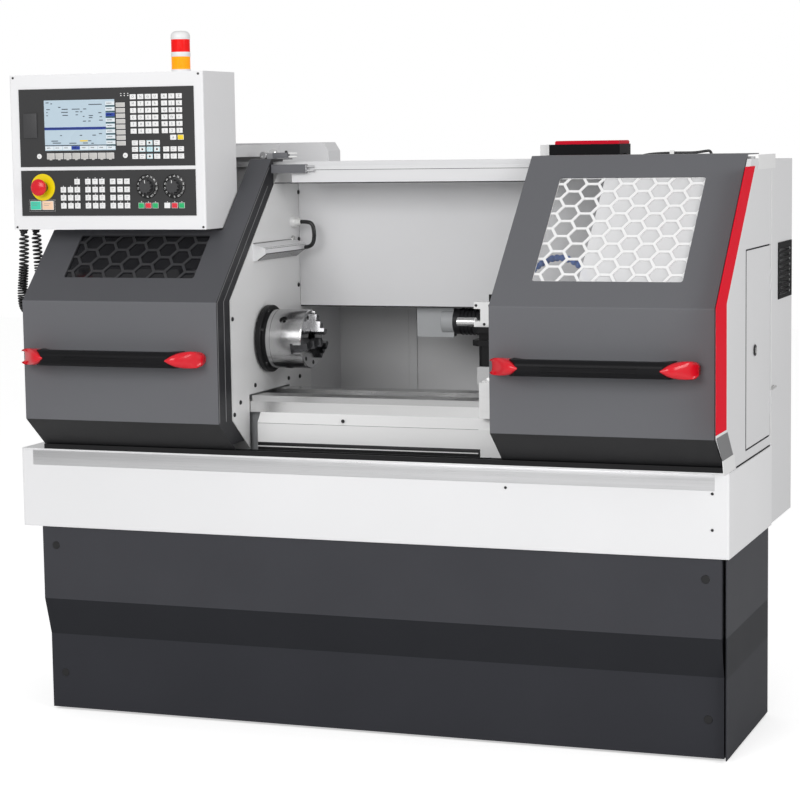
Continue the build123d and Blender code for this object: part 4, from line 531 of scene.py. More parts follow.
def build_ring_group():
    """Turning marks: fine rings round an axis that runs along X."""
    tree, given, result = new_group(
        "turning_marks",
        [("Colour", "Color", (0.6, 0.6, 0.6, 1)), ("Roughness", "Float", 0.3), ("Axis Y", "Float", 0.0),
         ("Axis Z", "Float", 0.0), ("Contrast", "Float", 0.3)],
        [("Colour", "Color"), ("Roughness", "Float"), ("Height", "Float")])
    parts = add_node(tree, "SeparateXYZ", {0: add_node(tree, "TexCoord").outputs["Object"]}).outputs
    off_y = maths(tree, "SUBTRACT", parts[1], given["Axis Y"])
    off_z = maths(tree, "SUBTRACT", parts[2], given["Axis Z"])
    squares = maths(tree, "ADD", maths(tree, "MULTIPLY", off_y, off_y), maths(tree, "MULTIPLY", off_z, off_z))
    radius = maths(tree, "SQRT", squares)
    angle = maths(tree, "ARCTAN2", off_z, off_y)
    ring_place = add_node(tree, "CombineXYZ", {
        0: maths(tree, "MULTIPLY", parts[0], 700.0), 1: maths(tree, "MULTIPLY", radius, 700.0),
        2: maths(tree, "MULTIPLY", angle, 0.8)}).outputs[0]
    rings = add_node(tree, "TexNoise", {"Vector": ring_place, "Scale": 1.0, "Detail": 4.0}).outputs[0]
    swing = maths(tree, "MULTIPLY", maths(tree, "SUBTRACT", rings, 0.5), given["Contrast"])
    tree.links.new(scaled(tree, given["Colour"], maths(tree, "ADD", swing, 1.0)), result["Colour"])
    tree.links.new(maths(tree, "ADD", given["Roughness"], maths(tree, "MULTIPLY", swing, 0.6)),
                   result["Roughness"])
    tree.links.new(rings, result["Height"])
    return tree


turning_marks = build_ring_group()


def turned_metal(name, colour, roughness, contrast=0.16, depth=0.000008):
    """A turned steel finish round the spindle's axis."""
    material, tree, shader = start_material(name, metallic=1.0)
    effect = use_group(tree, turning_marks, {"Colour": (*colour, 1), "Roughness": roughness,
                                             "Axis Y": chuck_y, "Axis Z": chuck_z, "Contrast": contrast})
    surface(tree, shader, effect, depth)
    return material


turned_steel = turned_metal("turned_steel", (0.50, 0.50, 0.505), 0.20)
dress(turned_steel, "spindle", "chuck_body", "tailstock_quill")
blackened = coated("blackened_steel", (0.014, 0.014, 0.015), 0.36, grain=800, depth=0.0001, specular=0.15)
dress(blackened, "chuck_backplate")
jaw_steel = bare_metal("jaw_steel", (0.40, 0.40, 0.41), 0.27, (300, 300, 40), contrast=0.3)
# Two of the jaws take a dark copy of the jaw steel: painted shade and dark reflection, as they face away from
# the light.
shaded_jaw_steel = bare_metal("shaded_jaw_steel", (0.10, 0.10, 0.105), 0.25, (300, 300, 40), contrast=0.3)
dress(jaw_steel, "chuck_jaw_2")
dress(shaded_jaw_steel, "chuck_jaw_1", "chuck_jaw_3")
chuck_face_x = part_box("chuck_body")[1].x
backplate_face_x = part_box("chuck_backplate")[0].x + 0.016
screw_circle, backplate_circle = 0.072, 0.090
socket_x, socket_radius, chuck_radius = -0.300, 0.0127, 0.089
chuck_screws = bmesh.new()
plate_screws = bmesh.new()
sockets = bmesh.new()
add_turned(sockets, Vector((backplate_face_x + 0.0002, chuck_y, chuck_z)), (1, 0, 0),
           [(chuck_radius + 0.0004, 0), (chuck_radius + 0.0004, 0.009), (chuck_radius - 0.004, 0.009)],
           steps=72)
# Black liners in the three pinion sockets are painted shade inside the holes; the black band round the body's
# foot is the blackened hub.
for i in range(3):
    angle = math.radians(45 + 120 * i)
    out = Vector((0, -math.cos(angle), math.sin(angle)))
    add_turned(sockets, Vector((socket_x, chuck_y, chuck_z)) + out * (chuck_radius - 0.0005), tuple(out),
               [(socket_radius, 0), (socket_radius, -0.014), (0, -0.014)], steps=28)
    for shift in (-24, 24):
        angle = math.radians(45 + 120 * i + shift)
        out = Vector((0, -math.cos(angle), math.sin(angle)))
        socket_screw(chuck_screws, Vector((chuck_face_x, chuck_y, chuck_z)) + out * screw_circle, (1, 0, 0),
                     0.0065, 0.0015)
        socket_screw(plate_screws, Vector((backplate_face_x, chuck_y, chuck_z)) + out * backplate_circle,
                     (1, 0, 0), 0.007, 0.006)
new_piece("hub_band_and_socket_shade", sockets, "spindle", blackened)
new_piece("chuck_face_screws", chuck_screws, "spindle", black_screws)
new_piece("backplate_screws", plate_screws, "spindle", black_screws)


# Carriage: white painted saddle with its ribbed apron, and thin ground cover plates that slide together.
# The cross slide above is ground steel with T slots, and carries the turret.
cover_steel = bare_metal("cover_steel", (0.72, 0.72, 0.72), 0.28, (10, 300, 300))
saddle_white = coated("saddle_enamel", (0.80, 0.80, 0.80), 0.32, grain=420, mottle=0.04, coat=0.2)
dress(saddle_white, "saddle")
dress(cover_steel, "cover_plate_2", "cover_plate_3")
slide_steel = bare_metal("slide_steel", (0.50, 0.50, 0.505), 0.30, (300, 8, 300))
dress(slide_steel, "cross_slide")


# Turret: a black indexing head on a black base, with a bright bracket holder, its boring bar and clamp knob.
# Its motor is black with a light grey terminal box, and a blue jointed nozzle brings the coolant.
turret_black = coated("turret_black", (0.010, 0.010, 0.011), 0.36, grain=700, depth=0.0001, specular=0.15)
dress(turret_black, "turret_head", "turret_base")
knob_bottom_z, bar_end_x = 1.268, 0.2835
holder_finish = coated_with_zones(
    "holder_finish", (0.86, 0.86, 0.86), 0.22,
    [(*region(low_z=knob_bottom_z + 0.0005), (0.015, 0.015, 0.015), 0.0),
     (*region(high_x=bar_end_x, high_z=1.3), (0.62, 0.62, 0.62), 1.0)], Grain=900.0)
dress(holder_finish, "tool_holder")
holder_front_y = at(0, 0.250, 0).y
holder_screws = bmesh.new()
for x, z in ((0.291, 1.258), (0.333, 1.258), (0.316, 1.203)):
    socket_screw(holder_screws, Vector((x, holder_front_y, z)), (0, -1, 0), 0.0042, 0.0028)
new_piece("holder_screws", holder_screws, "turret", black_screws)
motor_box_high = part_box("turret_motor")[0].x + 0.121
motor_finish = coated_with_zones(
    "motor_finish", (0.022, 0.022, 0.024), 0.38,
    [(*region(high_x=motor_box_high), (0.42, 0.43, 0.44), 0.0)], Grain=500.0)
dress(motor_finish, "turret_motor")
motor_fins = bmesh.new()
motor_centre = at(0, 0.592, 1.182)
for i in range(12):
    x = 0.135 + i * 0.0125
    add_turned(motor_fins, Vector((x, motor_centre.y, motor_centre.z)), (1, 0, 0),
               [(0.0395, 0), (0.0425, 0.0006), (0.0425, 0.0024), (0.0395, 0.003)], steps=40)
new_piece("motor_fins", motor_fins, "cross_slide", turret_black)

nozzle_blue = coated("nozzle_blue", (0.02, 0.13, 0.50), 0.34, grain=500, depth=0.0001, coat=0.2)
nozzle_route = [at(0.535, 0.300, 1.078), at(0.560, 0.300, 1.150), at(0.640, 0.255, 1.260),
                at(0.640, 0.215, 1.372), at(0.560, 0.200, 1.412), at(0.480, 0.205, 1.372),
                at(0.430, 0.225, 1.310), at(0.400, 0.235, 1.270)]
nozzle_line = follow(nozzle_route)
joint_pitch = 0.0165
nozzle = bmesh.new()
walked = joint_pitch
for here, there in zip(nozzle_line, nozzle_line[1:]):
    walked += (there - here).length
    if walked >= joint_pitch:
        walked -= joint_pitch
        add_turned(nozzle, here, there - here, [
            (0.0055, -0.004), (0.0092, -0.001), (0.0104, 0.004), (0.0092, 0.009), (0.0072, 0.011),
            (0.0072, 0.0135), (0.0055, 0.016)], steps=20)
tip = nozzle_line[-1]
tip_way = (nozzle_line[-1] - nozzle_line[-3]).normalized()
add_turned(nozzle, tip, tip_way, [(0.0055, -0.002), (0.0090, 0.004), (0.0088, 0.012), (0.0042, 0.034),
                                  (0.0030, 0.034), (0.0030, 0.004)], steps=20)
add_turned(nozzle, nozzle_line[0], (0, 0, 1),
           [(0, 0), (0.013, 0), (0.013, 0.010), (0.010, 0.014), (0, 0.014)], steps=24)
new_piece("coolant_nozzle", nozzle, "cross_slide", nozzle_blue)


# Tailstock: a grey casting on the ways, with its turned quill and a bright handwheel behind.
# A black clamp lever stands on its foot.
bright_steel = turned_metal("bright_steel", (0.68, 0.68, 0.68), 0.16, contrast=0.3)
dress(bright_steel, "tailstock_handwheel")
tail_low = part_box("tailstock")[0]
lever = bmesh.new()
lever_foot = Vector((tail_low.x + 0.12, tail_low.y + 0.03, tail_low.z + 0.0725))
add_turned(lever, lever_foot, (0, 0, 1),
           [(0, -0.006), (0.012, -0.006), (0.012, 0.012), (0.009, 0.016), (0, 0.016)])
lever_way = Vector((0.35, -0.25, 0.9)).normalized()
add_turned(lever, lever_foot + Vector((0, 0, 0.006)), lever_way,
           [(0.0045, 0), (0.0040, 0.070), (0.0075, 0.074), (0.0085, 0.086), (0.0070, 0.098), (0, 0.102)],
           steps=20)
new_piece("tailstock_clamp_lever", lever, "tailstock", black_plastic)


# Enclosure: folded sheets in light enamel round the work area, with a grey recess for the slide's motor.
# Button-head bolts hold the headstock's side wall, and one plated plug closes its oil point.
light_enamel = coated("light_enamel", (0.70, 0.70, 0.71), 0.36, grain=420, mottle=0.05, coat=0.2)
dress(light_enamel, "upper_back_panel", "right_end_panel", "access_door", "rear_cabinet", "top_rail_beam")
recess_grey = coated("recess_enamel", (0.60, 0.60, 0.605), 0.42, grain=420, mottle=0.08)
dress(recess_grey, "recess_back_wall")
# Thin black lines under the upper back panel and under the top beam are painted shadow along their edges; a
# thinner dark line runs across the beam.
shadow_lines = bmesh.new()
panel_low, beam_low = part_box("upper_back_panel")[0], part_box("top_rail_beam")[0]
shadow_line_right_x, lip = 0.440, 0.0002
for front, z, height in ((panel_low.y, panel_low.z, 0.0035), (beam_low.y, beam_low.z, 0.0030),
                         (beam_low.y, beam_low.z + 0.0400, 0.0014)):
    add_box(shadow_lines, Vector((wall_x + 0.002, front - lip, z)), Vector((shadow_line_right_x, front, z + height)))
new_piece("enclosure_shadow_lines", shadow_lines, "machine", black_plastic)
wall_bolts = bmesh.new()
for back, z in ((0.526, 1.587), (0.523, 1.440), (0.515, 1.297), (0.004, 1.228), (0.182, 1.200),
                (0.160, 1.016), (0.049, 0.976), (0.004, 0.944), (0.419, 1.011), (0.510, 1.008)):
    socket_screw(wall_bolts, at(wall_x, back, z), (1, 0, 0), 0.0068, 0.0040)
new_piece("wall_bolts", wall_bolts, "machine", black_screws)
oil_plug = bmesh.new()
add_turned(oil_plug, at(wall_x, 0.4733, 1.4417), (1, 0, 0), [
    (0.012, 0), (0.012, 0.004), (0.0105, 0.006), (0.006, 0.006), (0.006, 0.003), (0, 0.003)], steps=28)
plated = turned_metal("plated_steel", (0.66, 0.66, 0.65), 0.18, contrast=0.2)
new_piece("oil_point_plug", oil_plug, "machine", plated)


# Rear cabinet: two lift-off doors at the back with quarter-turn locks and pin hinges, and a black grille.
# The doors are pressed sheet in the same light enamel as the cabinet.
grille_black = coated("grille_black", (0.008, 0.008, 0.009), 0.5, grain=800, specular=0.03)
dress(grille_black, "cabinet_louvre")
cabinet_low, cabinet_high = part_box("rear_cabinet")
rear_y = cabinet_high.y
door_gap, door_thickness = 0.022, 0.0022
middle_x = (cabinet_low.x + cabinet_high.x) / 2
rear_doors = bmesh.new()
rear_fittings = bmesh.new()
for left, right, hinge in ((cabinet_low.x, middle_x, -1), (middle_x, cabinet_high.x, 1)):
    low = Vector((left + door_gap, rear_y, cabinet_low.z + 2 * door_gap))
    high = Vector((right - door_gap, rear_y + door_thickness, cabinet_high.z - 2 * door_gap))
    add_box(rear_doors, low, high, 0.001)
    hinge_x = low.x + 0.004 if hinge < 0 else high.x - 0.004
    lock_x = high.x - 0.05 if hinge < 0 else low.x + 0.05
    for share in (0.12, 0.5, 0.88):
        z = low.z + (high.z - low.z) * share
        add_turned(rear_fittings, Vector((hinge_x + hinge * 0.008, rear_y + 0.004, z - 0.03)), (0, 0, 1),
                   [(0, 0), (0.004, 0), (0.004, 0.029), (0.0033, 0.030), (0.004, 0.031), (0.004, 0.06),
                    (0, 0.06)], steps=16)
    for share in (0.25, 0.75):
        z = low.z + (high.z - low.z) * share
        add_turned(rear_fittings, Vector((lock_x, rear_y + door_thickness, z)), (0, 1, 0),
                   [(0.011, 0), (0.011, 0.002), (0.0095, 0.003), (0.005, 0.003), (0.005, 0.0012),
                    (0, 0.0012)], steps=24)
new_piece("rear_cabinet_doors", rear_doors, "machine", light_enamel)
new_piece("rear_hinges_and_locks", rear_fittings, "machine", plated)


# Red trim: a gloss red band stuck along the front edge of the end panel, bare of lettering.
# Its rear edge and the end panel's own edges are lined in white, a white line down its joint to the rear
# cabinet is a painted highlight, and a grey stripe closes its foot.
trim_red = coated("trim_red", (0.72, 0.005, 0.022), 0.50, grain=500, mottle=0.03, specular=0.02)
panel_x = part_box("red_side_trim")[0].x
trim_line = [(-0.160, 0.948), (-0.160, 1.292), (0.2205, 1.6575)]
trim_width, trim_thickness = 0.132, 0.0014


def add_band(shape, line, width, x, thickness):
    """A flat band on a face that looks along X: a line of (back, height) points widened to the rear."""
    corners = ((0, 0), (thickness, 0), (thickness, width), (0, width))
    add_loft(shape, [[at(x + lift, back + shift, z) for lift, shift in corners] for back, z in line])


trim = bmesh.new()
add_band(trim, trim_line, trim_width, panel_x, trim_thickness)
trim_piece = new_piece("red_trim_band", trim, "machine", trim_red)
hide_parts("red_side_trim")
trim_edge = bmesh.new()
add_band(trim_edge, [(back + trim_width, z) for back, z in trim_line], 0.009, panel_x, trim_thickness * 0.8)
add_band(trim_edge, [(-0.160, 0.940), (-0.160, 0.9475)], trim_width + 0.009, panel_x, trim_thickness * 0.8)
add_band(trim_edge, [(0.403, 1.647), (0.403, 1.689)], 0.248, panel_x, trim_thickness)
# The narrow white line down the joint to the rear cabinet is a painted highlight.
add_band(trim_edge, [(0.5965, 0.826), (0.5965, 1.645)], 0.008, panel_x, trim_thickness * 0.8)
add_band(trim_edge, [(-0.062, 0.824), (-0.078, 0.868)], 0.150, panel_x, trim_thickness * 1.5)
new_piece("end_panel_edging_and_highlight", trim_edge, "machine", white_enamel)
foot_grey = coated("foot_grey", (0.16, 0.16, 0.165), 0.40, grain=500, mottle=0.5)
foot = bmesh.new()
add_band(foot, [(-0.076, 0.866), (-0.152, 0.940)], 0.136, panel_x, trim_thickness)
new_piece("end_panel_foot_band", foot, "machine", foot_grey)


# Access door's fittings: a rubber lip in the gap round it, a quarter-turn lock and a hinge pin.
# A second rubber lip closes the end panel's foot on the tray.
door_low, door_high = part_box("access_door")
lip_black = coated("lip_rubber", (0.01, 0.01, 0.011), 0.6, specular=0.02)
lips = bmesh.new()
front_y, rear_door_y = door_low.y, door_high.y
for low, high in (((front_y - 0.004, door_low.z), (front_y + 0.0005, door_high.z)),
                  ((front_y - 0.004, door_high.z - 0.0005), (rear_door_y - 0.02, door_high.z + 0.0035)),
                  ((front_y - 0.004, door_low.z - 0.0035), (rear_door_y - 0.02, door_low.z + 0.0005))):
    add_box(lips, Vector((panel_x - 0.001, *low)), Vector((panel_x + 0.0008, *high)))
add_box(lips, at(panel_x - 0.001, 0.105, 0.8236), at(panel_x + 0.0008, 0.583, 0.8275))
new_piece("end_panel_lips", lips, "machine", lip_black)
lock_place = at(door_high.x, 0.354, 1.131)
lock_ring = bmesh.new()
add_turned(lock_ring, lock_place, (1, 0, 0),
           [(0.0165, -0.001), (0.0165, 0.0008), (0.0150, 0.0014), (0.0100, 0.0014), (0.0100, -0.0006),
            (0, -0.0006)], steps=32)
new_piece("access_door_lock_ring", lock_ring, "access_door", black_plastic)
lock = bmesh.new()
add_turned(lock, lock_place, (1, 0, 0), [(0.0088, -0.0006), (0.0088, 0.0012), (0.0080, 0.0018), (0, 0.0018)],
           steps=28)
add_box(lock, lock_place + Vector((0.0016, -0.0030, -0.0085)),
        lock_place + Vector((0.0040, 0.0030, 0.0085)), 0.0012)
new_piece("access_door_lock", lock, "access_door", plated)
pin = bmesh.new()
add_turned(pin, at(panel_x + 0.004, 0.600, 0.995), (0, 1, 0),
           [(0, 0), (0.0042, 0), (0.0042, 0.052), (0, 0.052)], steps=16)
add_box(pin, at(panel_x - 0.001, 0.606, 0.9885), at(panel_x + 0.003, 0.630, 1.0015), 0.0008)
new_piece("access_door_hinge_pin", pin, "machine", plated)


# Door track: a black channel in front of the bed guides the lower edges of both sliding doors. It takes the
# blackened steel finish of the chuck's backplate, whose black here is painted shade for the dark gap under
# the doors.
dress(blackened, "door_track")


# Sliding doors: folded sheet in graphite paint, with polycarbonate panes behind honeycomb guards.
# The left guard and pane are dark copies, painted shade of the window under the console; the right pane has a
# white veil of painted light on its right part.
door_grey = (0.128, 0.130, 0.140)
shaded_fold_grey = (0.014, 0.014, 0.015)
console_shadow_grey = (0.082, 0.083, 0.091)
shaded_return_grey = (0.020, 0.020, 0.023)
fold_z = 0.9275
# Below the lower fold the doors' downturned face is painted near black: painted shade.
shaded_low_fold = (*region(high_z=fold_z), shaded_fold_grey, 0.0)
graphite = coated_with_zones("graphite_paint", door_grey, 0.42, [shaded_low_fold], Grain=1300.0, Mottle=0.10,
                             Speck=0.35)
left_end_x = -0.3845
left_graphite = coated_with_zones(
    "left_door_paint", door_grey, 0.42,
    # The left door's upper slope is painted darker: the console's shadow painted on it.
    [(*region(low_z=1.2845, high_x=left_end_x - 0.001, high_z=1.70), console_shadow_grey, 0.0), shaded_low_fold,
     # Its return flange at the left end is painted near black as painted shade.
     (*region(low_x=left_end_x - 0.001, high_x=left_end_x + 0.0015, high_z=1.692), shaded_return_grey, 0.0),
     (at(-0.43, 0.32, 1.6935), at(-0.3, 0.4, 1.80), (0.30, 0.30, 0.31), 0.0),
     (at(-0.2695, 0.28, 1.64), at(-0.2, 0.40, 1.70), (0.55, 0.55, 0.56), 0.8)],
    Grain=1300.0, Mottle=0.10, Speck=0.35)
dress(left_graphite, "left_door")
# Two lighter lines along the left door's return flange are painted highlights on its folds.
edge_highlight_line = [(-0.1015, 0.9305), (-0.1015, 1.2830), (0.2995, 1.6680)]
middle_highlight_line = [(-0.0555, 0.9305), (-0.0555, 1.2830), (0.2872, 1.6120)]
highlight_lines = bmesh.new()
for highlight_path in (edge_highlight_line, middle_highlight_line):
    add_band(highlight_lines, highlight_path, 0.0038, left_end_x, 0.0006)
new_piece("left_door_return_highlights", highlight_lines, "left_door",
          coated("return_highlight_grey", (0.20, 0.20, 0.205), 0.4))
dress(graphite, "right_door")
guard_white = coated("guard_white", (0.86, 0.86, 0.86), 0.34, grain=700)
# The left guard is the white honeycomb given a dark copy: painted shade.
shaded_guard = coated("shaded_guard", (0.040, 0.040, 0.043), 0.36, grain=700)
dress(guard_white, "right_window_guard")
dress(shaded_guard, "left_window_guard")

slope = math.radians(43.8)
up_slope = Vector((0, math.cos(slope), math.sin(slope)))
out_of_slope = Vector((0, -math.sin(slope), math.cos(slope)))
pane_depth, pane_thickness, pane_lap, light_veil_alpha = 0.0068, 0.003, 0.012, 0.62


def build_pane_material(name, tint, alpha, light_veil_x):
    """Polycarbonate with faint smears, and a white veil of painted light on its part beyond a place along the
    machine.
    """
    material, tree, shader = start_material(name)
    shader.inputs["Metallic"].default_value = 0.0
    place = add_node(tree, "TexCoord").outputs["Object"]
    smear = add_node(tree, "TexNoise", {"Vector": place, "Scale": 5.0, "Detail": 4.0}).outputs[0]
    # Beyond that place the pane turns milky white: painted light for the bright housing seen behind it.
    lit_veil = maths(tree, "GREATER_THAN", add_node(tree, "SeparateXYZ", {0: place}).outputs[0], light_veil_x)
    veil = maths(tree, "ADD", maths(tree, "MULTIPLY", smear, 0.05), alpha)
    veil = maths(tree, "ADD", veil, maths(tree, "MULTIPLY", lit_veil, light_veil_alpha))
    tree.links.new(veil, shader.inputs["Alpha"])
    tree.links.new(maths(tree, "MULTIPLY", smear, 0.12), shader.inputs["Roughness"])
    shader.inputs["Base Color"].default_value = (*tint, 1)
    return material


# The left pane's near-black tint and strong opacity are painted shade of the dark inside behind it.
panes = (("left", 0.096, 0.272, (0.012, 0.012, 0.014), 0.90, 9.0),
         ("right", 0.096, 0.501, (0.85, 0.85, 0.86), 0.03, 0.681))
for side, low_along, high_along, tint, alpha, light_veil_x in panes:
    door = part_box(side + "_window_guard")
    origin = at(0, -0.104, 1.2835)
    left, right = Vector((door[0].x + 0.002, 0, 0)), Vector((door[1].x - 0.002, 0, 0))
    foot = origin + up_slope * (low_along - pane_lap) - out_of_slope * pane_depth
    head = origin + up_slope * (high_along + pane_lap) - out_of_slope * pane_depth
    ring = [left + foot, right + foot, right + head, left + head]
    pane = bmesh.new()
    add_loft(pane, [ring, [corner - out_of_slope * pane_thickness for corner in ring]])
    bmesh.ops.bevel(pane, geom=list(pane.edges), offset=0.0006, segments=1, affect="EDGES")
    new_piece(side + "_window_pane", pane, side + "_door",
              build_pane_material(side + "_polycarbonate", tint, alpha, light_veil_x))


# Door handles: a moulded black bar held off each door by glossy red ends, with ridges along its front.
# Each end is a rounded cap that reaches to the door and tapers to a point along the bar.
gloss_red = coated("gloss_red", (0.66, 0.006, 0.018), 0.25, grain=300, mottle=0.05, depth=0.00005, coat=0.35)
handle_black = coated("handle_black", (0.007, 0.007, 0.008), 0.42, grain=1500, depth=0.0001, specular=0.12)
dress(handle_black, "left_handle_bar", "right_handle_bar")
handle_z, ridge_height, ridge_depth = 1.120, 0.0035, 0.0022
end_steps = 28
end_sections = [(0.000, 0.0160, -0.50), (0.003, 0.0205, -0.36), (0.012, 0.0240, -0.12), (0.030, 0.0245, 0.32),
                (0.048, 0.0235, 0.72), (0.062, 0.0210, 0.96), (0.074, 0.0170, 1.0), (0.084, 0.0115, 1.0),
                (0.092, 0.0040, 0.99)]


def add_handle_end(shape, tip_x, way, wall_y, front_y):
    """A bullet-shaped end cap: rounded sections from the handle's end to a point along the bar."""
    middle_y, half_depth = (wall_y + front_y) / 2, (wall_y - front_y) / 2
    rings = []
    for along, half_height, reach in end_sections:
        ring = []
        for i in range(end_steps):
            angle = 2 * math.pi * i / end_steps
            depth, rise = math.cos(angle), math.sin(angle)
            depth_reach = half_depth * reach if depth < 0 else half_depth
            y = middle_y + depth_reach * math.copysign(abs(depth) ** 0.6, depth)
            z = handle_z + half_height * math.copysign(abs(rise) ** 0.75, rise)
            ring.append((tip_x + way * along, y, z))
        rings.append(ring)
    add_loft(shape, rings)


for side in ("left", "right"):
    bar_low, bar_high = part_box(side + "_handle_bar")
    end_low, end_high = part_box(side + "_handle_ends")
    caps = bmesh.new()
    add_handle_end(caps, end_low.x, 1, end_high.y, bar_low.y - 0.0035)
    add_handle_end(caps, end_high.x, -1, end_high.y, bar_low.y - 0.0035)
    caps_piece = new_piece(side + "_handle_caps", caps, side + "_door", gloss_red, crease=60)
    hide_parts(side + "_handle_ends")
    ridges = bmesh.new()
    inset = 0.095
    for rise in (-0.0062, 0.0062):
        z = handle_z + rise
        add_box(ridges, Vector((bar_low.x + inset, bar_low.y - ridge_depth, z - ridge_height / 2)),
                Vector((bar_high.x - inset, bar_low.y + 0.002, z + ridge_height / 2)), 0.0012)
    new_piece(side + "_handle_ridges", ridges, side + "_door", handle_black)


# Left door's hanger: a chrome switch roller, a black pin and a pale fork beside the rail.
# The fork and pin stop the door softly at the end of its travel.
chrome = turned_metal("chrome", (0.75, 0.75, 0.75), 0.10, contrast=0.1)
roller = bmesh.new()
roller_y = at(0, 0.3488, 0).y
add_turned(roller, Vector((left_end_x - 0.034, roller_y - 0.0112, 1.704)), (0, 1, 0), [
    (0, 0), (0.0045, 0), (0.0045, -0.001), (0.0108, -0.001), (0.0122, 0.0005), (0.0122, 0.0219),
    (0.0108, 0.0234), (0.0045, 0.0234), (0.0045, 0.0224), (0, 0.0224)], steps=36)
add_turned(roller, at(left_end_x - 0.004, 0.337, 1.712), (0, 1, 0), [
    (0, 0), (0.0090, 0), (0.0105, 0.0015), (0.0105, 0.0185), (0.0090, 0.020), (0, 0.020)], steps=32)
new_piece("switch_roller", roller, "left_door", chrome)
box_piece("hanger_block", at(-0.381, 0.322, 1.6955), at(-0.332, 0.342, 1.7120), "left_door",
          graphite, 0.0015)
hanger_pin = bmesh.new()
add_turned(hanger_pin, at(-0.3395, 0.332, 1.7120), (0, 0, 1),
           [(0, 0), (0.0042, 0), (0.0042, 0.0045), (0.0030, 0.0060), (0, 0.0060)], steps=20)
new_piece("hanger_pin", hanger_pin, "left_door", black_screws)
fork = bmesh.new()
for z in (1.6990, 1.7095):
    add_turned(fork, at(-0.333, 0.332, z), (1, 0, 0),
               [(0, 0), (0.0022, 0), (0.0022, 0.027), (0.0014, 0.029), (0, 0.029)], steps=14)
new_piece("hanger_fork", fork, "left_door", pale_plastic)


# Console: a folded housing in pale enamel that hangs from the cable arm, with two charcoal panels.
# Four small black screws close its front.
console_left, console_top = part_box("console_housing")[0].x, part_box("console_housing")[1].z
console_enamel = coated("console_enamel", (0.80, 0.80, 0.81), 0.36, grain=420, mottle=0.04, coat=0.15)
dress(console_enamel, "console_housing")
arm_enamel = coated("arm_enamel", (0.70, 0.70, 0.71), 0.38, grain=420, mottle=0.05)
dress(arm_enamel, "console_arm")
console_screws = bmesh.new()
for left, down in ((0.626, 0.010), (0.632, 0.458), (0.012, 0.010), (0.012, 0.458)):
    place = at(console_left + left, 0, console_top - down + 0.002)
    socket_screw(console_screws, place, (0, -1, 0), 0.0035, 0.002)
new_piece("console_screws", console_screws, "machine", black_screws)


# Display panel: a charcoal plate with the screen, an interface hatch, soft keys and a typewriter key pad.
# Each key is a moulded cap with a printed sign, set in its own window of the plate.
panel_back = -0.002
key_front = -0.0039
panel_film = coated("panel_charcoal", (0.044, 0.044, 0.045), 0.46, grain=1600, mottle=0.04, speck=0.25,
                    specular=0.15)
dress(panel_film, "display_panel", "machine_panel")


def add_panel_box(shape, left, down, size, back, rounding=0.0, layer=0):
    """A box on the console's front: its upper left corner, its size, and limits in depth."""
    x, z = console_left + left, console_top - down
    add_box(shape, at(x, back[0], z - size[1]), at(x + size[0], back[1], z), rounding, layer)


def add_key(shape, middle, down, size, layer=0):
    """A key cap round its middle point."""
    corner = middle - size[0] / 2, down - size[1] / 2
    add_panel_box(shape, *corner, size, (key_front, panel_back + 0.0004), 0.0009, layer)


def add_key_lamp(shape, middle, down):
    """The small lamp over a key."""
    add_panel_box(shape, middle - 0.0014, down, (0.0028, 0.0024), (panel_back - 0.0006, panel_back), 0.0003)


def add_sign(shape, text, middle, down, height, front, layer=0, turn=0.0):
    """A printed sign on the console's front."""
    curve = bpy.data.curves.new("sign", "FONT")
    curve.body = text
    curve.size = height
    curve.align_x = "CENTER"
    curve.align_y = "CENTER"
    curve.resolution_u = 2
    holder = bpy.data.objects.new("sign", curve)
    mesh = bpy.data.meshes.new_from_object(holder)
    mesh.transform(Matrix.Translation(at(console_left + middle, front, console_top - down))
                   @ Matrix.Rotation(math.pi / 2, 4, "X") @ Matrix.Rotation(turn, 4, "Z"))
    for polygon in mesh.polygons:
        polygon.material_index = layer
    shape.from_mesh(mesh)
    bpy.data.objects.remove(holder)
    bpy.data.meshes.remove(mesh)


def layered_piece(name, shape, materials, body="machine"):
    """A piece with several finishes, chosen by each face's layer."""
    piece = new_piece(name, shape, body, materials[0])
    for material in materials[1:]:
        piece.data.materials.append(material)
    return piece


key_white = coated("key_white", (0.80, 0.80, 0.80), 0.40, grain=900)
key_grey = coated("key_grey", (0.52, 0.51, 0.49), 0.42, grain=900)
key_cyan = coated("key_cyan", (0.12, 0.55, 0.66), 0.40, grain=900)
key_yellow = coated("key_yellow", (0.85, 0.62, 0.02), 0.38, grain=900)
sign_grey = coated("sign_grey", (0.20, 0.20, 0.21), 0.5)
sign_dark = coated("sign_dark", (0.02, 0.02, 0.02), 0.5)
sign_front = key_front - 0.00012
printed, overprinted = (sign_front, key_front), (sign_front - 0.0001, key_front)
small_key = (0.020, 0.015)

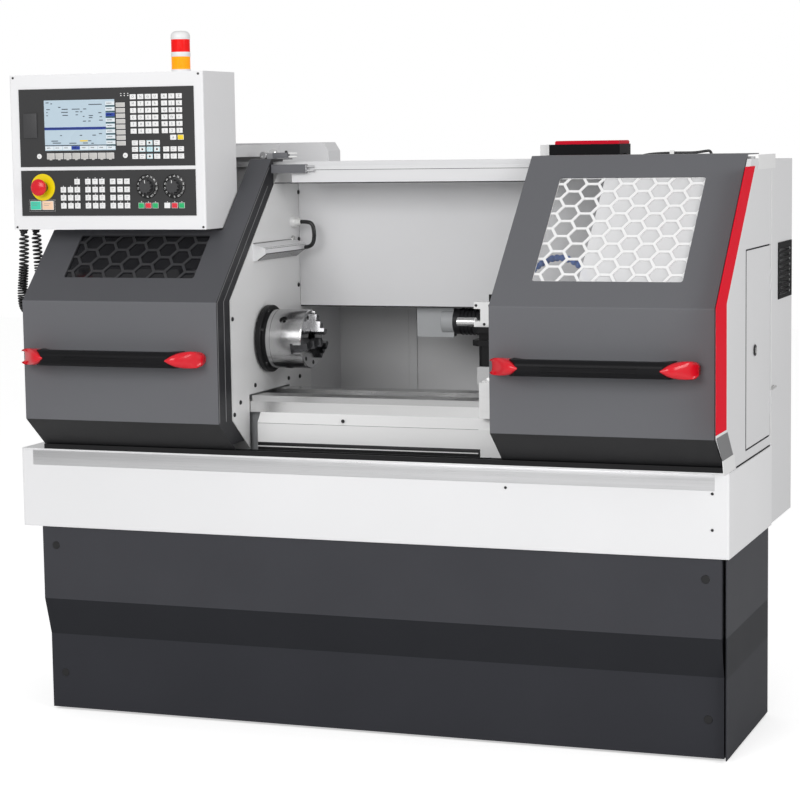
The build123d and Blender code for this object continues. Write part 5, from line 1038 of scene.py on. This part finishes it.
pad = bmesh.new()
key_columns = (0.414, 0.439, 0.463, 0.486, 0.516, 0.540, 0.564)
pad_signs = ("ONGUXYZ", "MTFRIJK", "STPLQAB", "CDEHVW=", "789+456", "*0/-123")
for row, signs in enumerate(pad_signs):
    for column, sign in zip(key_columns, signs):
        down = 0.0713 + row * 0.0202
        add_key(pad, column, down, small_key)
        add_sign(pad, sign, column, down, 0.0105, sign_front, layer=4)
cursor_columns = (0.417, 0.441, 0.465, 0.489, 0.519, 0.543, 0.567)
add_key(pad, 0.543, 0.192, small_key)
add_sign(pad, "#", 0.543, 0.192, 0.0095, sign_front, layer=4)
add_key(pad, 0.567, 0.192, small_key, layer=2)
arrow_keys = {(0.465, 0.207), (0.441, 0.226), (0.489, 0.226), (0.465, 0.247)}
for row, columns in ((0.207, cursor_columns[:4]), (0.226, cursor_columns), (0.247, cursor_columns)):
    for column in columns:
        if (column, row) in arrow_keys:
            add_key(pad, column, row, small_key, layer=1)
            add_panel_box(pad, column - 0.0082, row - 0.0058, (0.0164, 0.0116), printed, 0, 0)
            add_panel_box(pad, column - 0.0028, row - 0.0026, (0.0056, 0.0052), overprinted, 0, 5)
        elif (column, row) == (0.465, 0.226):
            add_key(pad, column, row, small_key, layer=1)
            for i in range(3):
                for j in range(3):
                    left, down = column - 0.0076 + i * 0.0054, row - 0.0056 + j * 0.0040
                    add_panel_box(pad, left, down, (0.0044, 0.0030), printed, 0, 0)
        else:
            add_key(pad, column, row, small_key)
            add_panel_box(pad, column - 0.0050, row - 0.0036, (0.0100, 0.0010), printed, 0, 4)
            add_panel_box(pad, column - 0.0050, row + 0.0020, (0.0070, 0.0010), printed, 0, 4)
for i in range(8):
    add_key(pad, 0.372, 0.094 + i * 0.0162, (0.030, 0.013), layer=3)
    soft_key = 0.135 + i * 0.0285
    add_key(pad, soft_key, 0.2435, (0.026, 0.018), layer=3)
    add_panel_box(pad, soft_key - 0.004, 0.252, (0.008, 0.0035), (key_front, panel_back + 0.0004), 0, 3)
for middle in (0.096, 0.384):
    centre = at(console_left + middle, panel_back, console_top - 0.2435)
    add_turned(pad, centre, (0, -1, 0), [(0.0078, 0), (0.0078, 0.0012), (0.0070, 0.0019), (0, 0.0019)],
               steps=28)
    add_sign(pad, "o", middle, 0.2435, 0.010, sign_front, layer=4)
for i in range(3):
    left = 0.3722 + i * 0.0115
    add_panel_box(pad, left + 0.0003, 0.0655, (0.0036, 0.0030), (panel_back - 0.0006, panel_back), 0.0003)
    add_panel_box(pad, left, 0.0600, (0.0040, 0.0020), (panel_back - 0.0002, panel_back))
layered_piece("key_pad", pad, [key_white, key_cyan, key_yellow, key_grey, sign_grey, sign_dark])

hatch_dark = coated("hatch_dark", (0.050, 0.050, 0.052), 0.45, grain=1600, speck=0.3)
hatch = bmesh.new()
add_panel_box(hatch, 0.0455, 0.1145, (0.046, 0.074), (panel_back - 0.0030, panel_back - 0.0002), 0.0012)
add_panel_box(hatch, 0.0600, 0.1800, (0.017, 0.0035), (panel_back - 0.0040, panel_back - 0.0020), 0.0006)
new_piece("interface_hatch", hatch, "machine", hatch_dark)


# Screen: a lit liquid crystal display under glass, with a generic page of marks, bars and soft-key labels.
# Nothing on it can be read: the lines only stand for text.
screen_front = panel_back - 0.0001
screen_pale = coated("screen_pale", (0.47, 0.58, 0.66), 0.3, grain=2000, mottle=0.02)
dress(screen_pale, "display_screen")
screen_left, screen_top = 0.116, 0.077
ink_blue = coated("screen_blue", (0.03, 0.06, 0.32), 0.3)
ink_dark = coated("screen_ink", (0.03, 0.04, 0.06), 0.3)
ink_white = coated("screen_white", (0.72, 0.78, 0.82), 0.3)
ink_teal = coated("screen_teal", (0.05, 0.11, 0.13), 0.3)
ink_yellow = coated("screen_yellow", (0.80, 0.58, 0.05), 0.3)
page = bmesh.new()


def add_mark(left, down, width, height, layer):
    """One printed mark of the page, from the screen's upper left corner."""
    add_panel_box(page, screen_left + left, screen_top + down, (width, height),
                  (screen_front - 0.0001, panel_back + 0.0005), 0, layer)


label_left = 0.206
add_mark(0, 0.0805, label_left, 0.0030, 0)
add_mark(0, 0.0832, label_left, 0.0018, 1)
add_mark(0, 0.0848, label_left, 0.0038, 0)
add_mark(0, 0.1335, 0.205, 0.0026, 1)
for i in range(8):
    add_mark(0.001 + i * 0.0294, 0.1368, 0.0276, 0.0108, 0 if i == 3 else 2)
    add_mark(0.006 + i * 0.0294, 0.1410, 0.012, 0.0018, 2 if i == 3 else 1)
    add_mark(label_left, 0.0065 + i * 0.0165, 0.030, 0.0110, 0 if i == 2 else 2)
    add_mark(label_left, 0.0172 + i * 0.0165, 0.030, 0.0050, 4)
    add_mark(label_left + 0.003, 0.0105 + i * 0.0165, 0.018, 0.0018, 2 if i == 2 else 1)
marks = [(0.006, 0.006, 0.010), (0.022, 0.009, 0.006), (0.150, 0.013, 0.044), (0.008, 0.026, 0.012),
         (0.048, 0.020, 0.008), (0.060, 0.026, 0.020), (0.094, 0.026, 0.026), (0.132, 0.026, 0.010),
         (0.008, 0.035, 0.004), (0.058, 0.035, 0.022), (0.106, 0.034, 0.010), (0.122, 0.034, 0.006),
         (0.008, 0.044, 0.004), (0.062, 0.044, 0.018), (0.106, 0.043, 0.008), (0.130, 0.048, 0.006),
         (0.150, 0.046, 0.014), (0.182, 0.038, 0.010), (0.150, 0.052, 0.012), (0.186, 0.050, 0.008),
         (0.130, 0.062, 0.010), (0.148, 0.062, 0.008), (0.184, 0.060, 0.012), (0.052, 0.104, 0.006),
         (0.118, 0.104, 0.008), (0.160, 0.104, 0.012), (0.022, 0.120, 0.022), (0.026, 0.126, 0.028),
         (0.082, 0.127, 0.024), (0.128, 0.127, 0.016), (0.156, 0.128, 0.008), (0.182, 0.100, 0.010)]
for left, down, width in marks:
    add_mark(left, down, width, 0.0024, 1)
add_mark(0.118, 0.1195, 0.026, 0.0040, 3)
add_mark(0.146, 0.1205, 0.010, 0.0024, 1)
layered_piece("screen_page", page, [ink_blue, ink_dark, ink_white, ink_yellow, ink_teal])


# Machine panel: mode keys with small lamps above them, two dial scales with plain numbers, and start keys.
# The caps are moulded like the key pad's.
key_red = coated("key_red", (0.70, 0.03, 0.05), 0.38, grain=900)
key_green = coated("key_green", (0.02, 0.42, 0.14), 0.38, grain=900)
key_mint = coated("key_mint", (0.06, 0.58, 0.40), 0.38, grain=900)
key_peach = coated("key_peach", (0.86, 0.60, 0.42), 0.38, grain=900)
mode = bmesh.new()
columns = (0.174, 0.198, 0.221, 0.257, 0.281, 0.304, 0.340, 0.364, 0.387)
for row in (0.320, 0.344, 0.368, 0.392):
    for number, column in enumerate(columns):
        if row == 0.320 and number < 2:
            continue
        add_key(mode, column, row, (0.0185, 0.0165))
        if number < 6 or row > 0.38:
            add_key_lamp(mode, column, row - 0.0118)
        lines = 2 if (number + round(row * 1000)) % 3 else 1
        for line in range(lines):
            size = (0.0090 - line * 0.003, 0.0009)
            add_panel_box(mode, column - 0.0045, row - 0.0030 + line * 0.0040, size, printed, 0, 5)
for column, layer in zip((0.433, 0.456, 0.479, 0.518, 0.542, 0.565), (2, 1, 2, 0, 1, 2)):
    add_key(mode, column, 0.392, (0.0195, 0.0165), layer)
    add_key_lamp(mode, column, 0.3802)
# The dark plate behind the two start keys is painted shadow round them.
add_panel_box(mode, 0.0570, 0.3735, (0.0870, 0.0350), (panel_back - 0.0012, panel_back), 0.0004, 6)
add_panel_box(mode, 0.0612, 0.3769, (0.037, 0.0272), (panel_back - 0.0030, panel_back), 0.0012, 3)
add_panel_box(mode, 0.1012, 0.3769, (0.0385, 0.0272), (panel_back - 0.0030, panel_back), 0.0012, 4)
for left in (0.068, 0.108):
    add_panel_box(mode, left, 0.3850, (0.022, 0.0010), (panel_back - 0.0032, panel_back), 0, 5)
    add_panel_box(mode, left, 0.3900, (0.016, 0.0010), (panel_back - 0.0032, panel_back), 0, 5)
layered_piece("mode_keys", mode,
              [key_white, key_red, key_green, key_mint, key_peach, sign_grey, sign_dark])

scale_black = coated("scale_black", (0.008, 0.008, 0.008), 0.34)
scale_front = panel_back - 0.0013
knob_grey = coated("knob_grey", (0.045, 0.045, 0.047), 0.42, grain=1200)
dress(knob_grey, "spindle_dial", "feed_dial")
dial_down, number_circle, number_count, top_number = 0.336, 0.0302, 13, 120
dials = (("spindle", 0.454), ("feed", 0.542))
for name, middle in dials:
    scales = bmesh.new()
    centre = at(console_left + middle, panel_back, console_top - dial_down)
    add_turned(scales, centre, (0, -1, 0), [(0.0362, 0), (0.0362, 0.0009), (0.0356, 0.0013), (0.0045, 0.0013),
                                            (0.0045, 0)], steps=64)
    for i in range(number_count):
        share = i / (number_count - 1)
        angle = math.radians(-150 + 300 * share)
        add_sign(scales, str(i * top_number // (number_count - 1)), middle + number_circle * math.sin(angle),
                 dial_down - number_circle * math.cos(angle), 0.0072, scale_front - 0.0001, layer=1,
                 turn=-angle)
    add_sign(scales, "%", middle, dial_down + 0.0305, 0.0085, scale_front - 0.0001, layer=1)
    layered_piece(name + "_scale", scales, [scale_black, key_white])
for name, middle in dials:
    pointer = bmesh.new()
    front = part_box(name + "_dial")[0].y - tray_front
    add_panel_box(pointer, middle - 0.0009, dial_down - 0.0190, (0.0018, 0.0090),
                  (front - 0.0003, front + 0.0004), 0.0002)
    new_piece(name + "_dial_pointer", pointer, name + "_dial", key_white)


# Emergency stop: a red moulded mushroom on its stem, over a round yellow disc.
# The disc is a printed plate, bare here, and the stem stands in its open middle.
stop_middle, stop_down = 0.105, 0.336
stop_yellow = coated("stop_yellow", (0.86, 0.66, 0.0), 0.34, grain=900, coat=0.2)
disc = bmesh.new()
add_turned(disc, at(console_left + stop_middle, panel_back, console_top - stop_down), (0, -1, 0),
           [(0.0402, 0), (0.0402, 0.0018), (0.0396, 0.0024), (0.0170, 0.0024), (0.0170, 0)], steps=64)
new_piece("stop_disc", disc, "machine", stop_yellow)
stop_low, stop_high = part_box("emergency_stop")
stop_middle_point = Vector(((stop_low.x + stop_high.x) / 2, stop_low.y, (stop_low.z + stop_high.z) / 2))
head = bmesh.new()
head_profile = [(0.0, 0.0)]
for i in range(1, 9):
    lean = math.radians(90 * i / 8)
    head_profile.append((0.016 * math.sin(lean) + 0.009 * i / 8, 0.0075 * (1 - math.cos(lean))))
head_profile += [(0.0250, 0.0130), (0.0240, 0.0160), (0.0220, 0.0170), (0.0079, 0.0170), (0.0079, 0.0330),
                 (0, 0.0330)]
add_turned(head, stop_middle_point, (0, 1, 0), head_profile, steps=56)
stop_head = new_piece("stop_mushroom", head, "emergency_stop", gloss_red)
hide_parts("emergency_stop")


# Signal tower: a white moulded base, ring and domed cap round two ribbed lenses, amber below red.
# The lenses are glossy tinted plastic with fine upright ribs inside.
tower_low, tower_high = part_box("signal_tower_body")
tower_foot = Vector(((tower_low.x + tower_high.x) / 2, (tower_low.y + tower_high.y) / 2, tower_low.z))
tower_white = coated("tower_white", (0.80, 0.80, 0.80), 0.34, grain=600)
amber_z, ring_z, red_z = 0.009, 0.046, 0.060
outer, seat, core, lens_height = 0.0290, 0.0284, 0.0120, 0.037
tower_profile = [(0, 0), (outer, 0), (outer, 0.0072), (0.0280, amber_z), (core, amber_z), (core, ring_z),
                 (seat, ring_z), (outer, ring_z + 0.001), (outer, red_z - 0.001), (seat, red_z),
                 (core, red_z), (core, red_z + lens_height), (seat, red_z + lens_height),
                 (outer, red_z + lens_height + 0.001)]
for i in range(9):
    lean = math.radians(90 * i / 8)
    tower_profile.append((0.013 + 0.016 * math.cos(lean), red_z + 0.046 + 0.016 * math.sin(lean)))
tower_profile.append((0, red_z + 0.062))
tower = bmesh.new()
add_turned(tower, tower_foot, (0, 0, 1), tower_profile, steps=56)
tower_piece = new_piece("tower_shell", tower, "machine", tower_white)
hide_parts("signal_tower_body")


def lens_material(name, colour):
    """Tinted lens plastic with upright ribs, a little lit from inside."""
    material, tree, shader = start_material(name, coat=0.1, coat_roughness=0.05, specular=0.1)
    parts = add_node(tree, "SeparateXYZ", {0: add_node(tree, "TexCoord").outputs["Object"]}).outputs
    off_x = maths(tree, "SUBTRACT", parts[0], tower_foot.x)
    off_y = maths(tree, "SUBTRACT", parts[1], tower_foot.y)
    angle = maths(tree, "ARCTAN2", off_y, off_x)
    ribs = maths(tree, "SINE", maths(tree, "MULTIPLY", angle, 40.0))
    effect = use_group(tree, surface_film, {"Colour": (*colour, 1), "Roughness": 0.22, "Mottle": 0.05})
    tree.links.new(effect["Colour"], shader.inputs["Base Color"])
    tree.links.new(effect["Roughness"], shader.inputs["Roughness"])
    tree.links.new(effect["Colour"], shader.inputs["Emission Color"])
    shader.inputs["Emission Strength"].default_value = 0.30
    bump = add_node(tree, "Bump", {"Height": ribs, "Strength": 0.5, "Distance": 0.0006})
    tree.links.new(bump.outputs[0], shader.inputs["Normal"])
    return material


dress(lens_material("amber_plastic", (0.95, 0.33, 0.0)), "tower_amber_lens")
dress(lens_material("red_plastic_lens", (0.70, 0.0, 0.0)), "tower_red_lens")


# Work lamp: an extruded aluminium housing screwed to the side wall, with end plates and a glass front below.
# Its black cable leaves the plated gland and loops back into the housing's face.
lamp_metal = bare_metal("lamp_aluminium", (0.80, 0.80, 0.81), 0.34, (400, 10, 400), metallic=0.3)
dress(lamp_metal, "work_lamp")
lamp_low, lamp_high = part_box("work_lamp")
lamp_ends = bmesh.new()
lamp_outline = [(0.0, 0.0), (0.034, -0.012), (0.041, -0.016), (0.041, -0.031), (0.008, -0.053), (0.0, -0.053)]
plate = 0.0024
for y in (lamp_low.y - plate, lamp_high.y):
    add_loft(lamp_ends, [[(wall_x + across, y + shift, lamp_high.z + rise) for across, rise in lamp_outline]
                         for shift in (0, plate)])
lamp_edges = bmesh.new()
for across, rise, width, height in ((0.0335, -0.0135, 0.0014, 0.0014), (0.0395, -0.0310, 0.0012, 0.0014),
                                    (0.0005, 0.0002, 0.0012, 0.0012), (0.0395, -0.0165, 0.0010, 0.0010)):
    add_box(lamp_edges, Vector((wall_x + across, lamp_low.y, lamp_high.z + rise)),
            Vector((wall_x + across + width, lamp_high.y, lamp_high.z + rise + height)))
new_piece("lamp_edge_lines", lamp_edges, "machine", black_plastic)
lamp_glass = bmesh.new()
low_edge, high_edge = Vector((0.0105, 0, -0.0505)), Vector((0.0385, 0, -0.0305))
near_end, far_end = (Vector((wall_x, y, lamp_high.z)) for y in (lamp_low.y + 0.008, lamp_high.y - 0.008))
glass_ring = [near_end + low_edge, far_end + low_edge, far_end + high_edge, near_end + high_edge]
glass_rise = Vector((0.0012, 0, -0.0016))
add_loft(lamp_glass, [[corner + glass_rise for corner in glass_ring], glass_ring])
new_piece("lamp_glass", lamp_glass, "machine",
          coated("lamp_glass", (0.06, 0.06, 0.062), 0.12, coat=0.5))
new_piece("lamp_end_plates", lamp_ends, "machine", lamp_metal)


# Lubrication unit: a moulded black tank that stands on the roof.
# It has a red lid, and a white box is fixed to its side.
unit_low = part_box("top_unit")[0]
lid_z, side_x = unit_low.z + 0.052, unit_low.x + 0.0312
unit_finish = coated_with_zones(
    "unit_finish", (0.008, 0.008, 0.009), 0.45,
    [(*region(low_z=lid_z + 0.0003), (0.62, 0.006, 0.024), 0.0),
     (*region(high_x=side_x), (0.76, 0.76, 0.76), 0.0)], specular=0.05, Grain=700.0)
dress(unit_finish, "top_unit")


# Floor and light: a pale floor, a large soft lamp in front and a second at the tailstock's end.
# To the camera the floor adds a little white of its own, so that it meets the white background.
def shown_directly(tree):
    """One where the camera looks straight at a surface or through glass, else nought."""
    seen = add_node(tree, "LightPath").outputs
    return maths(tree, "MAXIMUM", seen["Is Camera Ray"], seen["Is Transmission Ray"])


floor_shape = bmesh.new()
add_box(floor_shape, Vector((-14, -14, -0.02)), Vector((14, 14, 0)))
floor = bpy.data.objects.new("floor", bpy.data.meshes.new("floor"))
floor_shape.to_mesh(floor.data)
floor_shape.free()
bpy.context.collection.objects.link(floor)
floor_paint, tree, shader = start_material("floor_paint")
effect = use_group(tree, surface_film, {"Colour": (0.84, 0.84, 0.84, 1), "Roughness": 0.8, "Mottle": 0.01})
surface(tree, shader, effect, 0.0002)
shader.inputs["Emission Color"].default_value = (1, 1, 1, 1)
tree.links.new(maths(tree, "MULTIPLY", shown_directly(tree), 0.52), shader.inputs["Emission Strength"])
floor.data.materials.append(floor_paint)

world = bpy.data.worlds.new("studio")
bpy.context.scene.world = world
world.use_nodes = True
tree = world.node_tree
ambient, backdrop = 0.54, 1.0
strength = add_node(tree, "Mix", {0: shown_directly(tree), 2: ambient, 3: backdrop}).outputs[0]
tree.links.new(strength, tree.nodes["Background"].inputs["Strength"])
tree.nodes["Background"].inputs["Color"].default_value = (1, 1, 1, 1)


def add_lamp(name, place, target, size, watts):
    """A soft rectangular lamp aimed at a point."""
    data = bpy.data.lights.new(name, "AREA")
    data.shape = "RECTANGLE"
    data.size, data.size_y = size
    data.energy = watts
    lamp = bpy.data.objects.new(name, data)
    lamp.location = place
    lamp.rotation_euler = (Vector(target) - Vector(place)).to_track_quat("-Z", "Y").to_euler()
    bpy.context.collection.objects.link(lamp)


add_lamp("front_light", (-0.6, -6.0, 3.4), (0, 0, 1.1), (4.0, 2.6), 172)
add_lamp("side_light", (5.6, -2.6, 2.8), (0.4, 0, 1.1), (2.6, 2.2), 105)

bpy.context.scene.view_settings.view_transform = "Standard"
